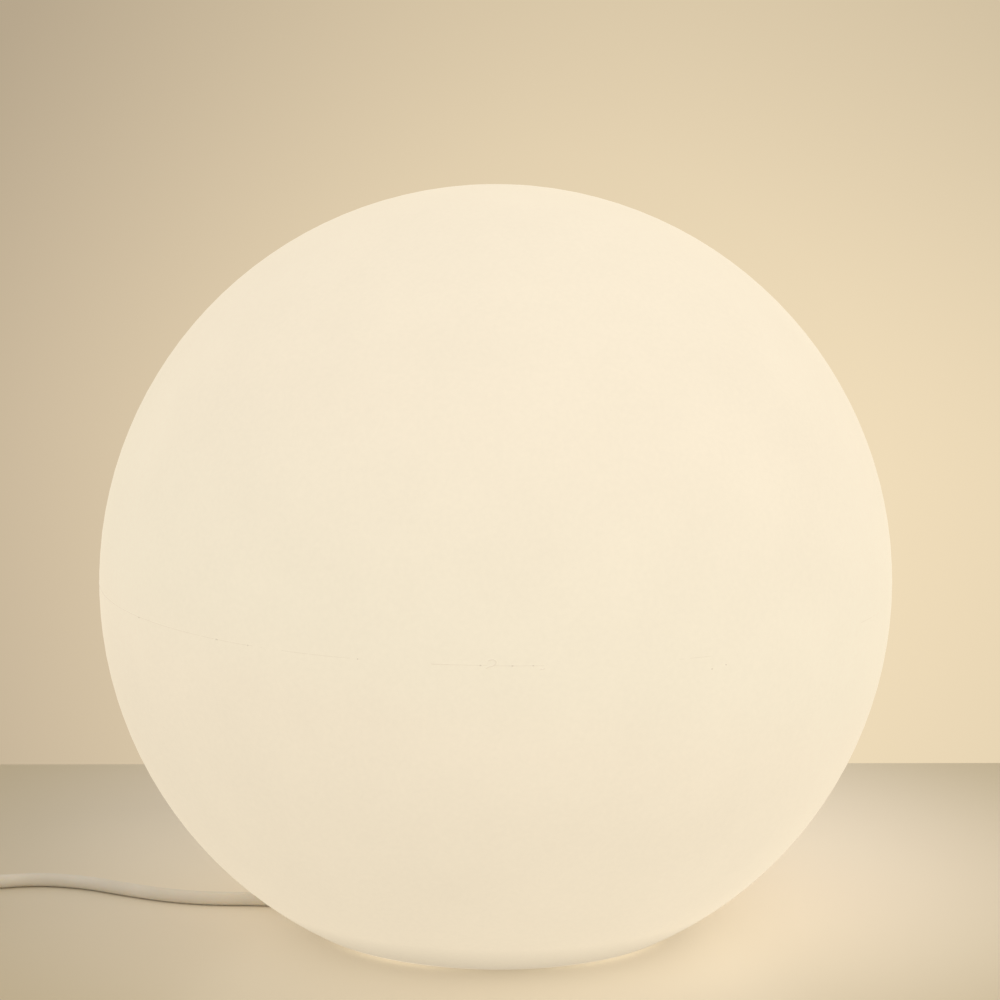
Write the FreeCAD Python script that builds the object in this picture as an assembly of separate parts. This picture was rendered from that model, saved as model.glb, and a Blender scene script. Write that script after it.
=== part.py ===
# Garden globe light: a moulded, lit globe that lifts off a lamp base with a screw-in bulb and a mains lead.
# Millimetres. +Z is up, and the origin is on the floor under the globe's centre.
import FreeCAD, Part
import math
import os

V = FreeCAD.Vector
UP = V(0, 0, 1)

# Globe shell
globe_radius = 200.0
shell_wall = 4.0
foot_corner_radius = 16.0
foot_ring_width = 20.9
recess_radius = 70.0
recess_draft = 2.0
recess_foot_corner = 7.0
recess_top_corner = 3.0
panel_height = 24.0
panel_width = 18.0
boss_radius = 7.0
boss_cover = 2.0
boss_draft = 0.8

# Screws and their inserts
screw_count = 4
screw_first_angle = 45.0
thread_radius = 2.0
thread_clearance = 0.05
screw_hole_clearance = 0.3
screw_length = 16.0
screw_head_radius = 4.0
screw_head_height = 2.6
screw_head_round = 1.2
cross_slot_width = 1.0
cross_slot_length = 4.4
cross_slot_depth = 1.4
insert_radius = 4.5
insert_length = 12.0
insert_end = 2.0

# Lamp base
gasket_thickness = 2.0
gasket_inset = 1.4
flange_thickness = 4.0
flange_clearance = 2.0
neck_clearance = 0.4
base_wall = 4.0
base_corner = 3.0
rib_count = 8
rib_thickness = 2.5
rib_foot_height = 4.0
rib_edge = 1.0
rib_inset = 1.5
roof_thickness = 4.0
pillar_radius = 19.0
pillar_wall = 2.5
pillar_roof = 3.0
pillar_room = 4.0
fin_count = 4
fin_reach = 14.0
fin_height = 16.0
fin_thickness = 2.5
fin_edge = 1.0

# Cord passage through the globe's foot and the lamp base's collar
cord_angle = 176.0
passage_width = 12.0
passage_height = 10.0

# Cord
cord_radius = 3.5
cord_fit = 0.05
core_radius = 1.2
core_gap = 0.36
route_arc_share = 0.45

# Cord gland
gland_mouth_height = 50.0
gland_thread_radius = 8.0
gland_hole_clearance = 0.1
gland_bore_radius = 5.6
gland_grip_wall = 3.0
gland_flange_height = 5.0
gland_stem_length = 9.0
gland_tail = 1.5
gland_washer_thickness = 1.5
gland_washer_inset = 0.5
gland_nut_grip = 8.0
gland_nut_dome = 6.0
gland_nut_mouth_radius = 6.4
gland_seal_length = 8.0
gland_seal_fit = 0.1
gland_locknut_height = 5.0

# Threaded tube that carries the lampholder
tube_radius = 5.0
tube_bore_radius = 4.0
tube_below = 3.0
tube_above = 7.0
tube_fit = 0.05
tube_nut_height = 4.0
tube_nut_across_flats = 14.0
flex_above_tube = 1.0

# Lampholder
holder_radius = 20.0
holder_wall = 2.0
holder_neck_radius = 11.0
holder_cone_height = 10.0
holder_cap_height = 22.0
holder_shell_height = 32.0
holder_collar_height = 8.0
holder_collar_step = 0.9
holder_lip_height = 2.0
holder_lip_clearance = 1.2
holder_lip_round = 1.0
holder_floor = 3.0
holder_grip_count = 24
holder_grip_radius = 1.2
holder_grip_depth = 0.6
holder_grip_margin = 3.0
carrier_thickness = 6.0
carrier_fit = 0.1
sleeve_wall = 0.5
sleeve_height = 27.0
contact_thickness = 0.6
contact_width = 6.0
contact_rise = 4.0
contact_reach = 9.0
terminal_size = 6.0
terminal_height = 4.0
terminal_place = 10.0
terminal_screw_radius = 1.5
terminal_screw_gap = 0.2

# LED bulb
cap_radius = 13.2
cap_clearance = 0.4
cap_wall = 0.8
cap_length = 20.0
cap_taper = 1.5
tip_radius = 4.8
tip_height = 2.2
tip_gap = 0.3
insulator_height = 5.0
insulator_ring = 0.6
bulb_neck_radius = 13.9
bulb_neck_height = 4.0
housing_height = 38.0
housing_rim_radius = 29.0
housing_wall = 1.6
housing_waist = 2.2
housing_waist_rise = 1.5
housing_flute_count = 12
housing_flute_radius = 1.6
housing_flute_length = 11.4
diffuser_lift = 7.7
diffuser_wall = 1.2
board_thickness = 1.5
board_clearance = 0.2
board_wire_hole_radius = 1.5
chip_count = 10
chip_size = 2.8
chip_height = 0.7
chip_circle_radius = 16.0
driver_width = 18.0
driver_thickness = 1.2
driver_clearance = 1.0
capacitor_radius = 4.0
capacitor_height = 12.0
capacitor_rise = 4.0

# Put-away coil, beside the globe, and the end of the cord
coil_centre_x = -331.0
coil_inner_radius = 27.5
coil_step = 9.0
coil_climb = 7.8
coil_half_turns_in = 6
coil_half_turns_out = 5
coil_section_sides = 8

# Plug
boot_length = 30.0
boot_start_radius = 4.8
boot_end_radius = 7.4
boot_groove_count = 4
boot_groove_depth = 0.8
boot_groove_width = 2.0
plug_length = 38.0
plug_width = 35.0
plug_rear_width = 18.2
plug_rear_height = 15.8
plug_waist_length = 11.4
plug_waist_width = 21.1
plug_waist_height = 17.4
plug_face_length = 10.6
plug_face_draft = 1.6
plug_corner = 8.0
plug_corner_share = 0.42
plug_grip_count = 3
plug_grip_spacing = 3.2
plug_grip_start = 3.4
plug_grip_radius = 1.5
plug_grip_depth = 0.6
pin_radius = 2.4
pin_length = 19.0
pin_spacing = 19.0
pin_end_round = 1.6

# Radii and heights that follow; the globe's centre sits where its foot corner meets the flat ring under it
foot_centre_radius = recess_radius + foot_ring_width
globe_centre_height = foot_corner_radius + math.sqrt(
    (globe_radius - foot_corner_radius) ** 2 - foot_centre_radius ** 2)
neck_radius = recess_radius - recess_draft - panel_width
screw_circle_radius = neck_radius + panel_width / 2
flange_top = panel_height - gasket_thickness
flange_under = flange_top - flange_thickness
flange_radius = recess_radius - recess_draft - flange_clearance
collar_radius = neck_radius - neck_clearance
well_radius = collar_radius - base_wall
gland_across_flats = 2 * (gland_thread_radius + gland_grip_wall)
gland_body_under = gland_mouth_height + gland_nut_dome + gland_nut_grip
roof_under = gland_body_under + gland_flange_height + gland_washer_thickness
roof_top = roof_under + roof_thickness
gland_top = roof_top + gland_locknut_height + gland_tail
tube_bottom = gland_top + pillar_room
pillar_top = tube_bottom + tube_below + tube_nut_height + pillar_roof
holder_joint = pillar_top + holder_cap_height
sleeve_top = holder_joint + sleeve_height
holder_top = holder_joint + holder_shell_height
sleeve_inner_radius = cap_radius + cap_clearance
tip_bottom = holder_joint + contact_rise + contact_thickness + tip_gap
insulator_bottom = tip_bottom + tip_height
cap_bottom = insulator_bottom + insulator_height
cap_top = cap_bottom + cap_length
housing_top = cap_top + bulb_neck_height + housing_height
diffuser_radius = math.hypot(housing_rim_radius, diffuser_lift)
diffuser_centre = housing_top + diffuser_lift
flex_top = pillar_top + tube_above + flex_above_tube

# Cord and coil levels that follow
coil_low = cord_radius
coil_high = cord_radius + coil_climb
coil_outer_radius = coil_inner_radius + coil_half_turns_in * coil_step / 2
plug_height = 2 * coil_high

# Cord route, chosen by hand: down out of the gland, out under the foot, then one gentle wave to the coil
COIL_START = (coil_centre_x + 2 * cord_radius, 30.5, coil_low)
STRETCH_ROUTE = [
    (0.0, 0.0, gland_mouth_height),
    (0.0, 0.0, 34.8),
    (-6.0, 0.3, 20.6),
    (-16.8, 1.0, 9.6),
    (-31.2, 1.9, cord_radius),
    (-52.0, 3.9, cord_radius),
    (-84.0, 5.4, cord_radius),
    (-116.0, 8.4, cord_radius),
    (-147.0, 7.6, cord_radius),
    (-171.0, 13.0, cord_radius),
    (-193.0, 23.2, cord_radius),
    (-216.0, 34.9, cord_radius),
    (-240.0, 38.6, cord_radius),
    (-262.0, 32.2, cord_radius),
    (-284.0, 28.6, cord_radius),
    (-310.0, 30.5, cord_radius),
    COIL_START,
]

# From the coil's end to the plug, as steps from the coil's end, sagging a little between them
TAIL_STEPS = [
    (0.0, 0.0, 0.0),
    (0.0, -12.0, 0.0),
    (1.0, -25.0, -1.6),
    (4.0, -38.0, -2.6),
    (7.6, -50.6, -1.8),
    (9.2, -63.0, 0.0),
    (9.2, -74.0, 0.0),
]


def corner_arc(before, corner, after, cut):
    """Start, middle and end of the arc that rounds a corner, cut back by a length along both runs."""
    back = (before - corner).normalize()
    ahead = (after - corner).normalize()
    half = back.getAngle(ahead) / 2
    middle = (back + ahead).normalize()
    reach = cut / math.cos(half) - cut * math.tan(half)
    return corner + back * cut, corner + middle * reach, corner + ahead * cut


def outline(corners):
    """Closed wire through corners given as (radius, height, rounding), in the XZ plane."""
    points = [V(x, 0, z) for x, z, rounding in corners]
    count = len(points)
    pieces = []
    for i, (x, z, rounding) in enumerate(corners):
        before = points[i - 1]
        after = points[(i + 1) % count]
        if rounding:
            half = (before - points[i]).getAngle(after - points[i]) / 2
            pieces.append(corner_arc(before, points[i], after, rounding / math.tan(half)))
        else:
            pieces.append((points[i], None, points[i]))
    edges = []
    for i, (start, middle, end) in enumerate(pieces):
        if middle:
            edges.append(Part.Arc(start, middle, end).toShape())
        following = pieces[(i + 1) % count][0]
        if end.distanceToPoint(following) > 1e-6:
            edges.append(Part.LineSegment(end, following).toShape())
    return Part.Wire(edges)


def turned(corners):
    """Solid of revolution about the vertical axis."""
    return Part.Face(outline(corners)).revolve(V(0, 0, 0), UP, 360)


def ring(inner, outer, low, high):
    return turned([(inner, low, 0), (outer, low, 0), (outer, high, 0), (inner, high, 0)])


def rod(radius, low, high, x=0.0, y=0.0):
    return Part.makeCylinder(radius, high - low, V(x, y, low))


def hexagon(across_flats, low, high):
    """Hexagonal prism about the vertical axis."""
    corner = across_flats / math.sqrt(3)
    turns = [i * math.pi / 3 for i in range(7)]
    points = [V(corner * math.cos(turn), corner * math.sin(turn), low) for turn in turns]
    return Part.Face(Part.makePolygon(points)).extrude(V(0, 0, high - low))


def plate(points, thickness):
    """Flat plate with an outline in the XZ plane, centred on that plane."""
    face = Part.Face(Part.makePolygon([V(x, -thickness / 2, z) for x, z in points + points[:1]]))
    return face.extrude(V(0, thickness, 0))


def around(shape, angles):
    """Copies of a shape turned about the vertical axis."""
    copies = []
    for angle in angles:
        copy = shape.copy()
        copy.rotate(V(0, 0, 0), UP, angle)
        copies.append(copy)
    return copies


def spread(count, first=0.0):
    return [first + i * 360.0 / count for i in range(count)]


SCREW_ANGLES = spread(screw_count, screw_first_angle)


def passage(start, end, margin):
    """Arched channel along the cord's way out, grown all round by a margin and open below."""
    half = passage_width / 2 + margin
    spring = passage_height + margin - half
    points = [V(start, -half, -1), V(start, -half, spring), V(start, 0, spring + half)]
    points += [V(start, half, spring), V(start, half, -1)]
    edges = [
        Part.LineSegment(points[0], points[1]).toShape(),
        Part.Arc(points[1], points[2], points[3]).toShape(),
        Part.LineSegment(points[3], points[4]).toShape(),
        Part.LineSegment(points[4], points[0]).toShape(),
    ]
    channel = Part.Face(Part.Wire(edges)).extrude(V(end - start, 0, 0))
    channel.rotate(V(0, 0, 0), UP, cord_angle)
    return channel


def globe_skin(inset):
    """Open profile of the globe, from its top round to the neck's lip, moved in by an inset."""
    centre = V(0, 0, globe_centre_height)
    radius = globe_radius - inset
    foot = V(foot_centre_radius, 0, foot_corner_radius)
    corner = foot_corner_radius - inset
    outward = (foot - centre).normalize()
    start = foot + outward * corner
    end = foot - UP * corner
    middle = foot + (outward - UP).normalize() * corner
    slope = math.atan2(recess_draft, panel_height)
    shift = inset / math.cos(slope)
    low = V(recess_radius + shift - inset * math.tan(slope), 0, inset)
    high = V(recess_radius - recess_draft + shift - inset * math.tan(slope), 0, panel_height + inset)
    lip = V(neck_radius, 0, panel_height + inset)
    low_half = (end - low).getAngle(high - low) / 2
    high_half = (low - high).getAngle(lip - high) / 2
    low_cut = (recess_foot_corner - inset) / math.tan(low_half)
    high_cut = (recess_top_corner + inset) / math.tan(high_half)
    first = corner_arc(end, low, high, low_cut)
    second = corner_arc(low, high, lip, high_cut)
    return [
        Part.Arc(centre + UP * radius, centre + V(radius, 0, 0), start).toShape(),
        Part.Arc(start, middle, end).toShape(),
        Part.LineSegment(end, first[0]).toShape(),
        Part.Arc(*first).toShape(),
        Part.LineSegment(first[2], second[0]).toShape(),
        Part.Arc(*second).toShape(),
        Part.LineSegment(second[2], lip).toShape(),
    ]


def globe_section(inset_edges, outer_edges):
    """Face between two skins, closed across the lip and along the axis."""
    outer_lip = outer_edges[-1].Vertexes[-1].Point
    inner_lip = inset_edges[-1].Vertexes[-1].Point
    across = Part.LineSegment(outer_lip, inner_lip).toShape()
    axis = Part.LineSegment(V(0, 0, globe_centre_height + globe_radius - shell_wall),
                            V(0, 0, globe_centre_height + globe_radius)).toShape()
    return Part.Face(Part.Wire(Part.__sortEdges__(outer_edges + [across] + inset_edges + [axis])))


def globe_shell():
    """One-piece hollow globe with a recessed bottom, four insert bosses and a walled cord passage."""
    shell = globe_section(globe_skin(shell_wall), globe_skin(0.0)).revolve(V(0, 0, 0), UP, 360)
    ball = Part.makeSphere(globe_radius, V(0, 0, globe_centre_height))
    above_floor = Part.makeBox(2 * globe_radius, 2 * globe_radius, globe_radius,
                               V(-globe_radius, -globe_radius, 0))
    within = ball.common(above_floor)
    mouth = recess_radius - shell_wall
    shell = shell.fuse(passage(mouth, globe_radius, shell_wall).common(within))
    boss_base = panel_height + shell_wall / 2
    boss_top = panel_height + insert_length + boss_cover
    boss = Part.makeCone(boss_radius, boss_radius - boss_draft, boss_top - boss_base,
                         V(screw_circle_radius, 0, boss_base))
    for copy in around(boss, SCREW_ANGLES):
        shell = shell.fuse(copy)
    seat = rod(insert_radius, panel_height - 1, panel_height + insert_length, screw_circle_radius)
    for copy in around(seat, SCREW_ANGLES):
        shell = shell.cut(copy)
    recess = rod(recess_radius - recess_draft, -1, panel_height)
    shell = shell.cut(passage(mouth - shell_wall, globe_radius, 0.0))
    return shell.cut(recess.common(passage(0, recess_radius - recess_draft, shell_wall))).removeSplitter()


def insert():
    """Blind threaded insert, moulded into its boss and flush with the panel."""
    bore_end = panel_height + insert_length - insert_end
    body = rod(insert_radius, panel_height, panel_height + insert_length, screw_circle_radius)
    return body.cut(rod(thread_radius, panel_height - 1, bore_end, screw_circle_radius))


def screw():
    """Pan-head screw up through the flange, with a cross slot."""
    shank_radius = thread_radius - thread_clearance
    head_low = flange_under - screw_head_height
    body = turned([
        (0, head_low, 0),
        (screw_head_radius, head_low, screw_head_round),
        (screw_head_radius, flange_under, 0),
        (shank_radius, flange_under, 0),
        (shank_radius, flange_under + screw_length - thread_radius / 2, 0),
        (shank_radius / 2, flange_under + screw_length, 0),
        (0, flange_under + screw_length, 0),
    ])
    for length, width in ((cross_slot_length, cross_slot_width), (cross_slot_width, cross_slot_length)):
        body = body.cut(Part.makeBox(length, width, cross_slot_depth, V(-length / 2, -width / 2, head_low)))
    body.translate(V(screw_circle_radius, 0, 0))
    return body


def gasket():
    seal = ring(collar_radius + gasket_inset, flange_radius - gasket_inset, flange_top, panel_height)
    hole = rod(thread_radius + screw_hole_clearance, flange_top - 1, panel_height + 1, screw_circle_radius)
    for copy in around(hole, SCREW_ANGLES):
        seal = seal.cut(copy)
    return seal


def lamp_base():
    """Closure that stands in the foot: collar, flange, cord well, roof and the pillar for the lampholder."""
    pillar_bore = pillar_radius - pillar_wall
    body = turned([
        (well_radius, 0, 0),
        (collar_radius, 0, 0),
        (collar_radius, flange_under, 0),
        (flange_radius, flange_under, 1),
        (flange_radius, flange_top, 0),
        (collar_radius, flange_top, 0),
        (collar_radius, roof_top, base_corner),
        (pillar_radius, roof_top, base_corner),
        (pillar_radius, pillar_top, 1),
        (tube_radius + tube_fit, pillar_top, 0),
        (tube_radius + tube_fit, pillar_top - pillar_roof, 0),
        (pillar_bore, pillar_top - pillar_roof, 0),
        (pillar_bore, roof_top, 0),
        (gland_thread_radius + gland_hole_clearance, roof_top, 0),
        (gland_thread_radius + gland_hole_clearance, roof_under, 0),
        (well_radius, roof_under, base_corner),
    ])
    inside = collar_radius - base_wall / 2
    rib_end = flange_radius - rib_inset
    rib_top = flange_under + flange_thickness / 2
    rib = plate([(inside, rib_foot_height), (inside, rib_top), (rib_end, rib_top),
                 (rib_end, flange_under - rib_edge), (collar_radius + rib_inset, rib_foot_height)],
                rib_thickness)
    for copy in around(rib, spread(rib_count, 180.0 / rib_count)):
        body = body.fuse(copy)
    root = pillar_radius - pillar_wall / 2
    fin_end = pillar_radius + fin_reach
    fin_low = roof_top - roof_thickness / 2
    fin_high = roof_top + fin_height
    fin = plate([(root, fin_low), (fin_end, fin_low), (fin_end, roof_top + fin_edge),
                 (pillar_radius + fin_edge, fin_high), (root, fin_high)], fin_thickness)
    for copy in around(fin, spread(fin_count)):
        body = body.fuse(copy)
    hole = rod(thread_radius + screw_hole_clearance, flange_under - 1, flange_top + 1, screw_circle_radius)
    for copy in around(hole, SCREW_ANGLES):
        body = body.cut(copy)
    return body.cut(passage(well_radius - base_wall, collar_radius + 1, 0.0)).removeSplitter()


def gland_body():
    """Threaded body with its hexagon, through the roof and hollow for the cord and the seal."""
    stem_low = gland_body_under - gland_stem_length
    body = hexagon(gland_across_flats, gland_body_under, gland_body_under + gland_flange_height)
    body = body.fuse(rod(gland_thread_radius, stem_low, gland_top))
    body = body.cut(rod(cord_radius + cord_fit, stem_low - 1, gland_top + 1))
    return body.cut(rod(gland_bore_radius, stem_low - 1, stem_low + gland_seal_length))


def gland_nut():
    """Dome nut that squeezes the seal, with a hexagonal grip."""
    low = gland_mouth_height
    grip_low = low + gland_nut_dome
    corner = gland_across_flats / math.sqrt(3)
    outside = turned([(0, low, 0), (gland_nut_mouth_radius, low, 1), (corner, grip_low, 2),
                      (corner, gland_body_under, 0), (0, gland_body_under, 0)])
    body = hexagon(gland_across_flats, low, gland_body_under).common(outside)
    body = body.cut(rod(cord_radius + cord_fit, low - 1, gland_body_under + 1))
    stem_low = gland_body_under - gland_stem_length
    return body.cut(rod(gland_thread_radius + cord_fit, stem_low - gland_seal_fit, gland_body_under + 1))


def gland_seal():
    low = gland_body_under - gland_stem_length
    high = low + gland_seal_length - gland_seal_fit
    return ring(cord_radius + cord_fit, gland_bore_radius - gland_seal_fit, low, high)


def gland_washer():
    high = roof_under
    return ring(gland_thread_radius + gland_hole_clearance, gland_across_flats / 2 - gland_washer_inset,
                high - gland_washer_thickness, high)


def gland_locknut():
    nut = hexagon(gland_across_flats, roof_top, roof_top + gland_locknut_height)
    return nut.cut(rod(gland_thread_radius + cord_fit, roof_top - 1, gland_top + 1))


def holder_tube():
    return ring(tube_bore_radius, tube_radius, tube_bottom, pillar_top + tube_above)


def holder_tube_nut():
    high = pillar_top - pillar_roof
    nut = hexagon(tube_nut_across_flats, high - tube_nut_height, high)
    return nut.cut(rod(tube_radius + tube_fit, high - tube_nut_height - 1, high + 1))


def holder_cap():
    """Lower half of the lampholder, screwed on the threaded tube; its grip grooves run out at the joint."""
    inner = holder_radius - holder_wall
    low = pillar_top
    body = turned([
        (tube_radius + tube_fit, low, 0),
        (holder_neck_radius, low, 1),
        (holder_radius, low + holder_cone_height, 3),
        (holder_radius, holder_joint, 0),
        (inner, holder_joint, 0),
        (inner, low + holder_cone_height + holder_wall / 2, 2),
        (holder_neck_radius - holder_wall / 2, low + holder_floor, 1),
        (tube_radius + tube_fit, low + holder_floor, 0),
    ])
    place = holder_radius + holder_grip_radius - holder_grip_depth
    start = low + holder_cone_height + holder_grip_margin
    groove = rod(holder_grip_radius, start, holder_joint + 1, place)
    groove = groove.fuse(Part.makeSphere(holder_grip_radius, V(place, 0, start)))
    for copy in around(groove, spread(holder_grip_count)):
        body = body.cut(copy)
    return body


def holder_shell():
    """Upper half of the lampholder, stepped in at its collar, with a lip round the bulb's cap."""
    inner = holder_radius - holder_wall
    mouth = bulb_neck_radius + holder_lip_clearance
    collar_low = holder_top - holder_collar_height
    return turned([
        (inner, holder_joint, 0),
        (holder_radius, holder_joint, 0),
        (holder_radius, collar_low, holder_collar_step / 2),
        (holder_radius - holder_collar_step, collar_low, 0),
        (holder_radius - holder_collar_step, holder_top, holder_lip_round),
        (mouth, holder_top, holder_lip_round / 2),
        (mouth, holder_top - holder_lip_height, 0),
        (inner, holder_top - holder_lip_height, 0),
    ])


def contact_carrier():
    """Insulating disc in the lampholder, with pockets for the two terminals."""
    low = holder_joint - carrier_thickness
    body = rod(holder_radius - holder_wall - carrier_fit, low, holder_joint)
    half = terminal_size / 2 + carrier_fit
    for x in (-terminal_place, terminal_place):
        body = body.cut(Part.makeBox(2 * half, 2 * half, terminal_height + 1, V(x - half, -half, low - 1)))
    return body


def thread_sleeve():
    """Threaded sleeve that takes the bulb's cap; its thread is left plain here."""
    return ring(sleeve_inner_radius, sleeve_inner_radius + sleeve_wall, holder_joint, sleeve_top)


def centre_contact():
    """Sprung strip that presses on the bulb's tip."""
    low = holder_joint
    high = holder_joint + contact_rise
    t = contact_thickness
    end = contact_reach / 3
    under = [(-contact_reach, low), (-end, low), (0, high), (end, high)]
    over = [(end, high + t), (-t / 2, high + t), (-end - t / 2, low + t), (-contact_reach, low + t)]
    return plate(under + over, contact_width)


def terminals():
    low = holder_joint - carrier_thickness
    half = terminal_size / 2
    blocks = []
    for x in (-terminal_place, terminal_place):
        block = Part.makeBox(terminal_size, terminal_size, terminal_height, V(x - half, -half, low))
        block = block.cut(rod(core_radius + cord_fit, low - 1, low + terminal_height / 2, x))
        side = Part.makeCylinder(terminal_screw_radius, half, V(x, 0, low + terminal_height / 2), V(0, -1, 0))
        blocks.append(block.cut(side))
    return blocks


def terminal_screws():
    level = holder_joint - carrier_thickness + terminal_height / 2
    screws = []
    for x in (-terminal_place, terminal_place):
        end = core_radius + terminal_screw_gap
        screws.append(Part.makeCylinder(terminal_screw_radius, terminal_size / 2 - end, V(x, -end, level),
                                        V(0, -1, 0)))
    return screws


def route_wire(points):
    """Straight runs joined by arcs as large as the runs allow, and the arcs' radii."""
    points = [V(*p) for p in points]
    edges = []
    radii = []
    last = points[0]
    for before, corner, after in zip(points, points[1:], points[2:]):
        cut = route_arc_share * min((before - corner).Length, (after - corner).Length)
        half_turn = (math.pi - (before - corner).getAngle(after - corner)) / 2
        radii.append(cut / math.tan(half_turn))
        start, middle, end = corner_arc(before, corner, after, cut)
        edges.append(Part.LineSegment(last, start).toShape())
        edges.append(Part.Arc(start, middle, end).toShape())
        last = end
    edges.append(Part.LineSegment(last, points[-1]).toShape())
    return Part.Wire(edges), radii


def tube_along(wire, radius):
    """Round tube along a wire."""
    first = wire.Edges[0]
    heading = first.tangentAt(first.FirstParameter)
    section = Part.Wire(Part.Circle(first.valueAt(first.FirstParameter), heading, radius).toShape())
    tube = wire.makePipeShell([section], True, False)
    return tube if tube.ShapeType == "Solid" else Part.Solid(Part.Shell(tube.Faces))


def inner_flex():
    return rod(cord_radius, gland_mouth_height, flex_top)


def core(side):
    """One core, from the flex's end up into its terminal."""
    x = side * (core_radius + core_gap / 2)
    terminal_low = holder_joint - carrier_thickness
    run = (terminal_low - flex_top) / 3
    route = [(x, 0, flex_top), (x, 0, flex_top + run), (side * terminal_place, 0, flex_top + 2 * run),
             (side * terminal_place, 0, terminal_low + terminal_height / 2)]
    return tube_along(route_wire(route)[0], core_radius)


def bulb_tip():
    return turned([(0, tip_bottom, 0), (tip_radius, tip_bottom, 1.2), (tip_radius, insulator_bottom, 0),
                   (0, insulator_bottom, 0)])


def bulb_insulator():
    ring_radius = tip_radius + insulator_ring
    return turned([(0, insulator_bottom, 0), (ring_radius, insulator_bottom, insulator_ring / 2),
                   (cap_radius - cap_taper, cap_bottom, 0), (0, cap_bottom, 0)])


def bulb_cap():
    """Screw cap of the bulb, a drawn metal cup; its thread is left plain here."""
    inner = cap_radius - cap_wall
    return turned([
        (cap_radius - cap_taper - cap_wall, cap_bottom, 0),
        (cap_radius - cap_taper, cap_bottom, 0),
        (cap_radius, cap_bottom + cap_taper, 0),
        (cap_radius, cap_top, 0),
        (inner, cap_top, 0),
        (inner, cap_bottom + cap_taper, 0),
    ])


def bulb_housing():
    """Hollow fluted housing that flares from the cap to the rim that holds the diffuser."""
    low = cap_top
    neck_top = low + bulb_neck_height
    middle_r = (bulb_neck_radius + housing_rim_radius) / 2
    middle_z = neck_top + housing_height / 2

    def side(inset):
        start = V(bulb_neck_radius - inset, 0, neck_top)
        end = V(housing_rim_radius - inset, 0, housing_top)
        through = V(middle_r - inset - housing_waist, 0, middle_z + housing_waist_rise)
        return start, through, end

    a, b, c = side(0.0)
    d, e, f = side(housing_wall)
    edges = [
        Part.LineSegment(V(bulb_neck_radius, 0, low), a).toShape(),
        Part.Arc(a, b, c).toShape(),
        Part.LineSegment(c, f).toShape(),
        Part.Arc(f, e, d).toShape(),
        Part.LineSegment(d, V(bulb_neck_radius - housing_wall, 0, low)).toShape(),
        Part.LineSegment(V(bulb_neck_radius - housing_wall, 0, low), V(bulb_neck_radius, 0, low)).toShape(),
    ]
    body = Part.Face(Part.Wire(edges)).revolve(V(0, 0, 0), UP, 360)
    depth = housing_wall / 2
    slope = math.atan2(c.x - b.x, c.z - b.z)
    flute = Part.makeCylinder(housing_flute_radius, housing_flute_length,
                              V(b.x + housing_flute_radius - depth, 0, b.z),
                              V(math.sin(slope), 0, math.cos(slope)))
    for copy in around(flute, spread(housing_flute_count)):
        body = body.cut(copy)
    return body


def led_board():
    low = housing_top
    high = low + board_thickness
    board = rod(housing_rim_radius - housing_wall - board_clearance, low, high)
    return board.cut(rod(board_wire_hole_radius, low - 1, high + 1))


def led_chips():
    low = housing_top + board_thickness
    chip = Part.makeBox(chip_size, chip_size, chip_height, V(chip_circle_radius, -chip_size / 2, low))
    return around(chip, spread(chip_count))


def driver_board():
    """Upright circuit board from the cap to the LED board, with its capacitor."""
    low = cap_bottom + cap_taper + driver_clearance
    inner = cap_radius - cap_wall
    half = min(driver_width / 2, inner - driver_clearance)
    board = Part.makeBox(2 * half, driver_thickness, housing_top - low, V(-half, -driver_thickness / 2, low))
    level = cap_top + bulb_neck_height + capacitor_rise
    return board.fuse(rod(capacitor_radius, level, level + capacitor_height, 0, capacitor_radius))


def bulb_diffuser():
    """Frosted dome: an open ball seated round the rim of the housing."""
    inner = diffuser_radius - diffuser_wall
    centre = V(0, 0, diffuser_centre)
    drop = diffuser_centre - housing_top
    rim = V(housing_rim_radius, 0, housing_top)
    inner_rim = V(math.sqrt(inner ** 2 - drop ** 2), 0, housing_top)
    part_way = math.radians(35)
    side = V(math.cos(part_way), 0, math.sin(part_way))
    edges = [
        Part.Arc(rim, centre + side * diffuser_radius, centre + UP * diffuser_radius).toShape(),
        Part.LineSegment(centre + UP * diffuser_radius, centre + UP * inner).toShape(),
        Part.Arc(centre + UP * inner, centre + side * inner, inner_rim).toShape(),
        Part.LineSegment(inner_rim, rim).toShape(),
    ]
    return Part.Face(Part.Wire(edges)).revolve(V(0, 0, 0), UP, 360)


def coil_edges():
    """Half turns that spiral in on the floor, climb over half a turn and spiral out on top of themselves."""
    centre = V(coil_centre_x, COIL_START[1] - coil_outer_radius, 0)
    half_step = coil_step / 2
    radii = [coil_outer_radius - i * half_step for i in range(coil_half_turns_in + 1)]
    radii += [coil_inner_radius + i * half_step for i in range(coil_half_turns_out + 2)]
    levels = [coil_low] * (coil_half_turns_in + 1) + [coil_high] * (coil_half_turns_out + 2)
    side = 1
    edges = []
    start = centre + V(0, radii[0], levels[0])
    edges.append(Part.LineSegment(V(*COIL_START), start).toShape())
    for i in range(len(radii) - 1):
        end = centre + V(0, -side * radii[i + 1], levels[i + 1])
        chord = (end - start).Length / 2
        middle = (start + end) / 2 + V(-side * chord, 0, 0)
        if i == len(radii) - 2:
            quarter = math.radians(45)
            hub = (start + end) / 2
            knee = hub + V(-side * chord * math.sin(quarter), side * chord * math.cos(quarter), 0)
            edges.append(Part.Arc(start, knee, middle).toShape())
            start = middle
            break
        edges.append(Part.Arc(start, middle, end).toShape())
        start = end
        side = -side
    finish = start - V(0, 2 * cord_radius, 0)
    edges.append(Part.LineSegment(start, finish).toShape())
    return edges, finish


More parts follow.
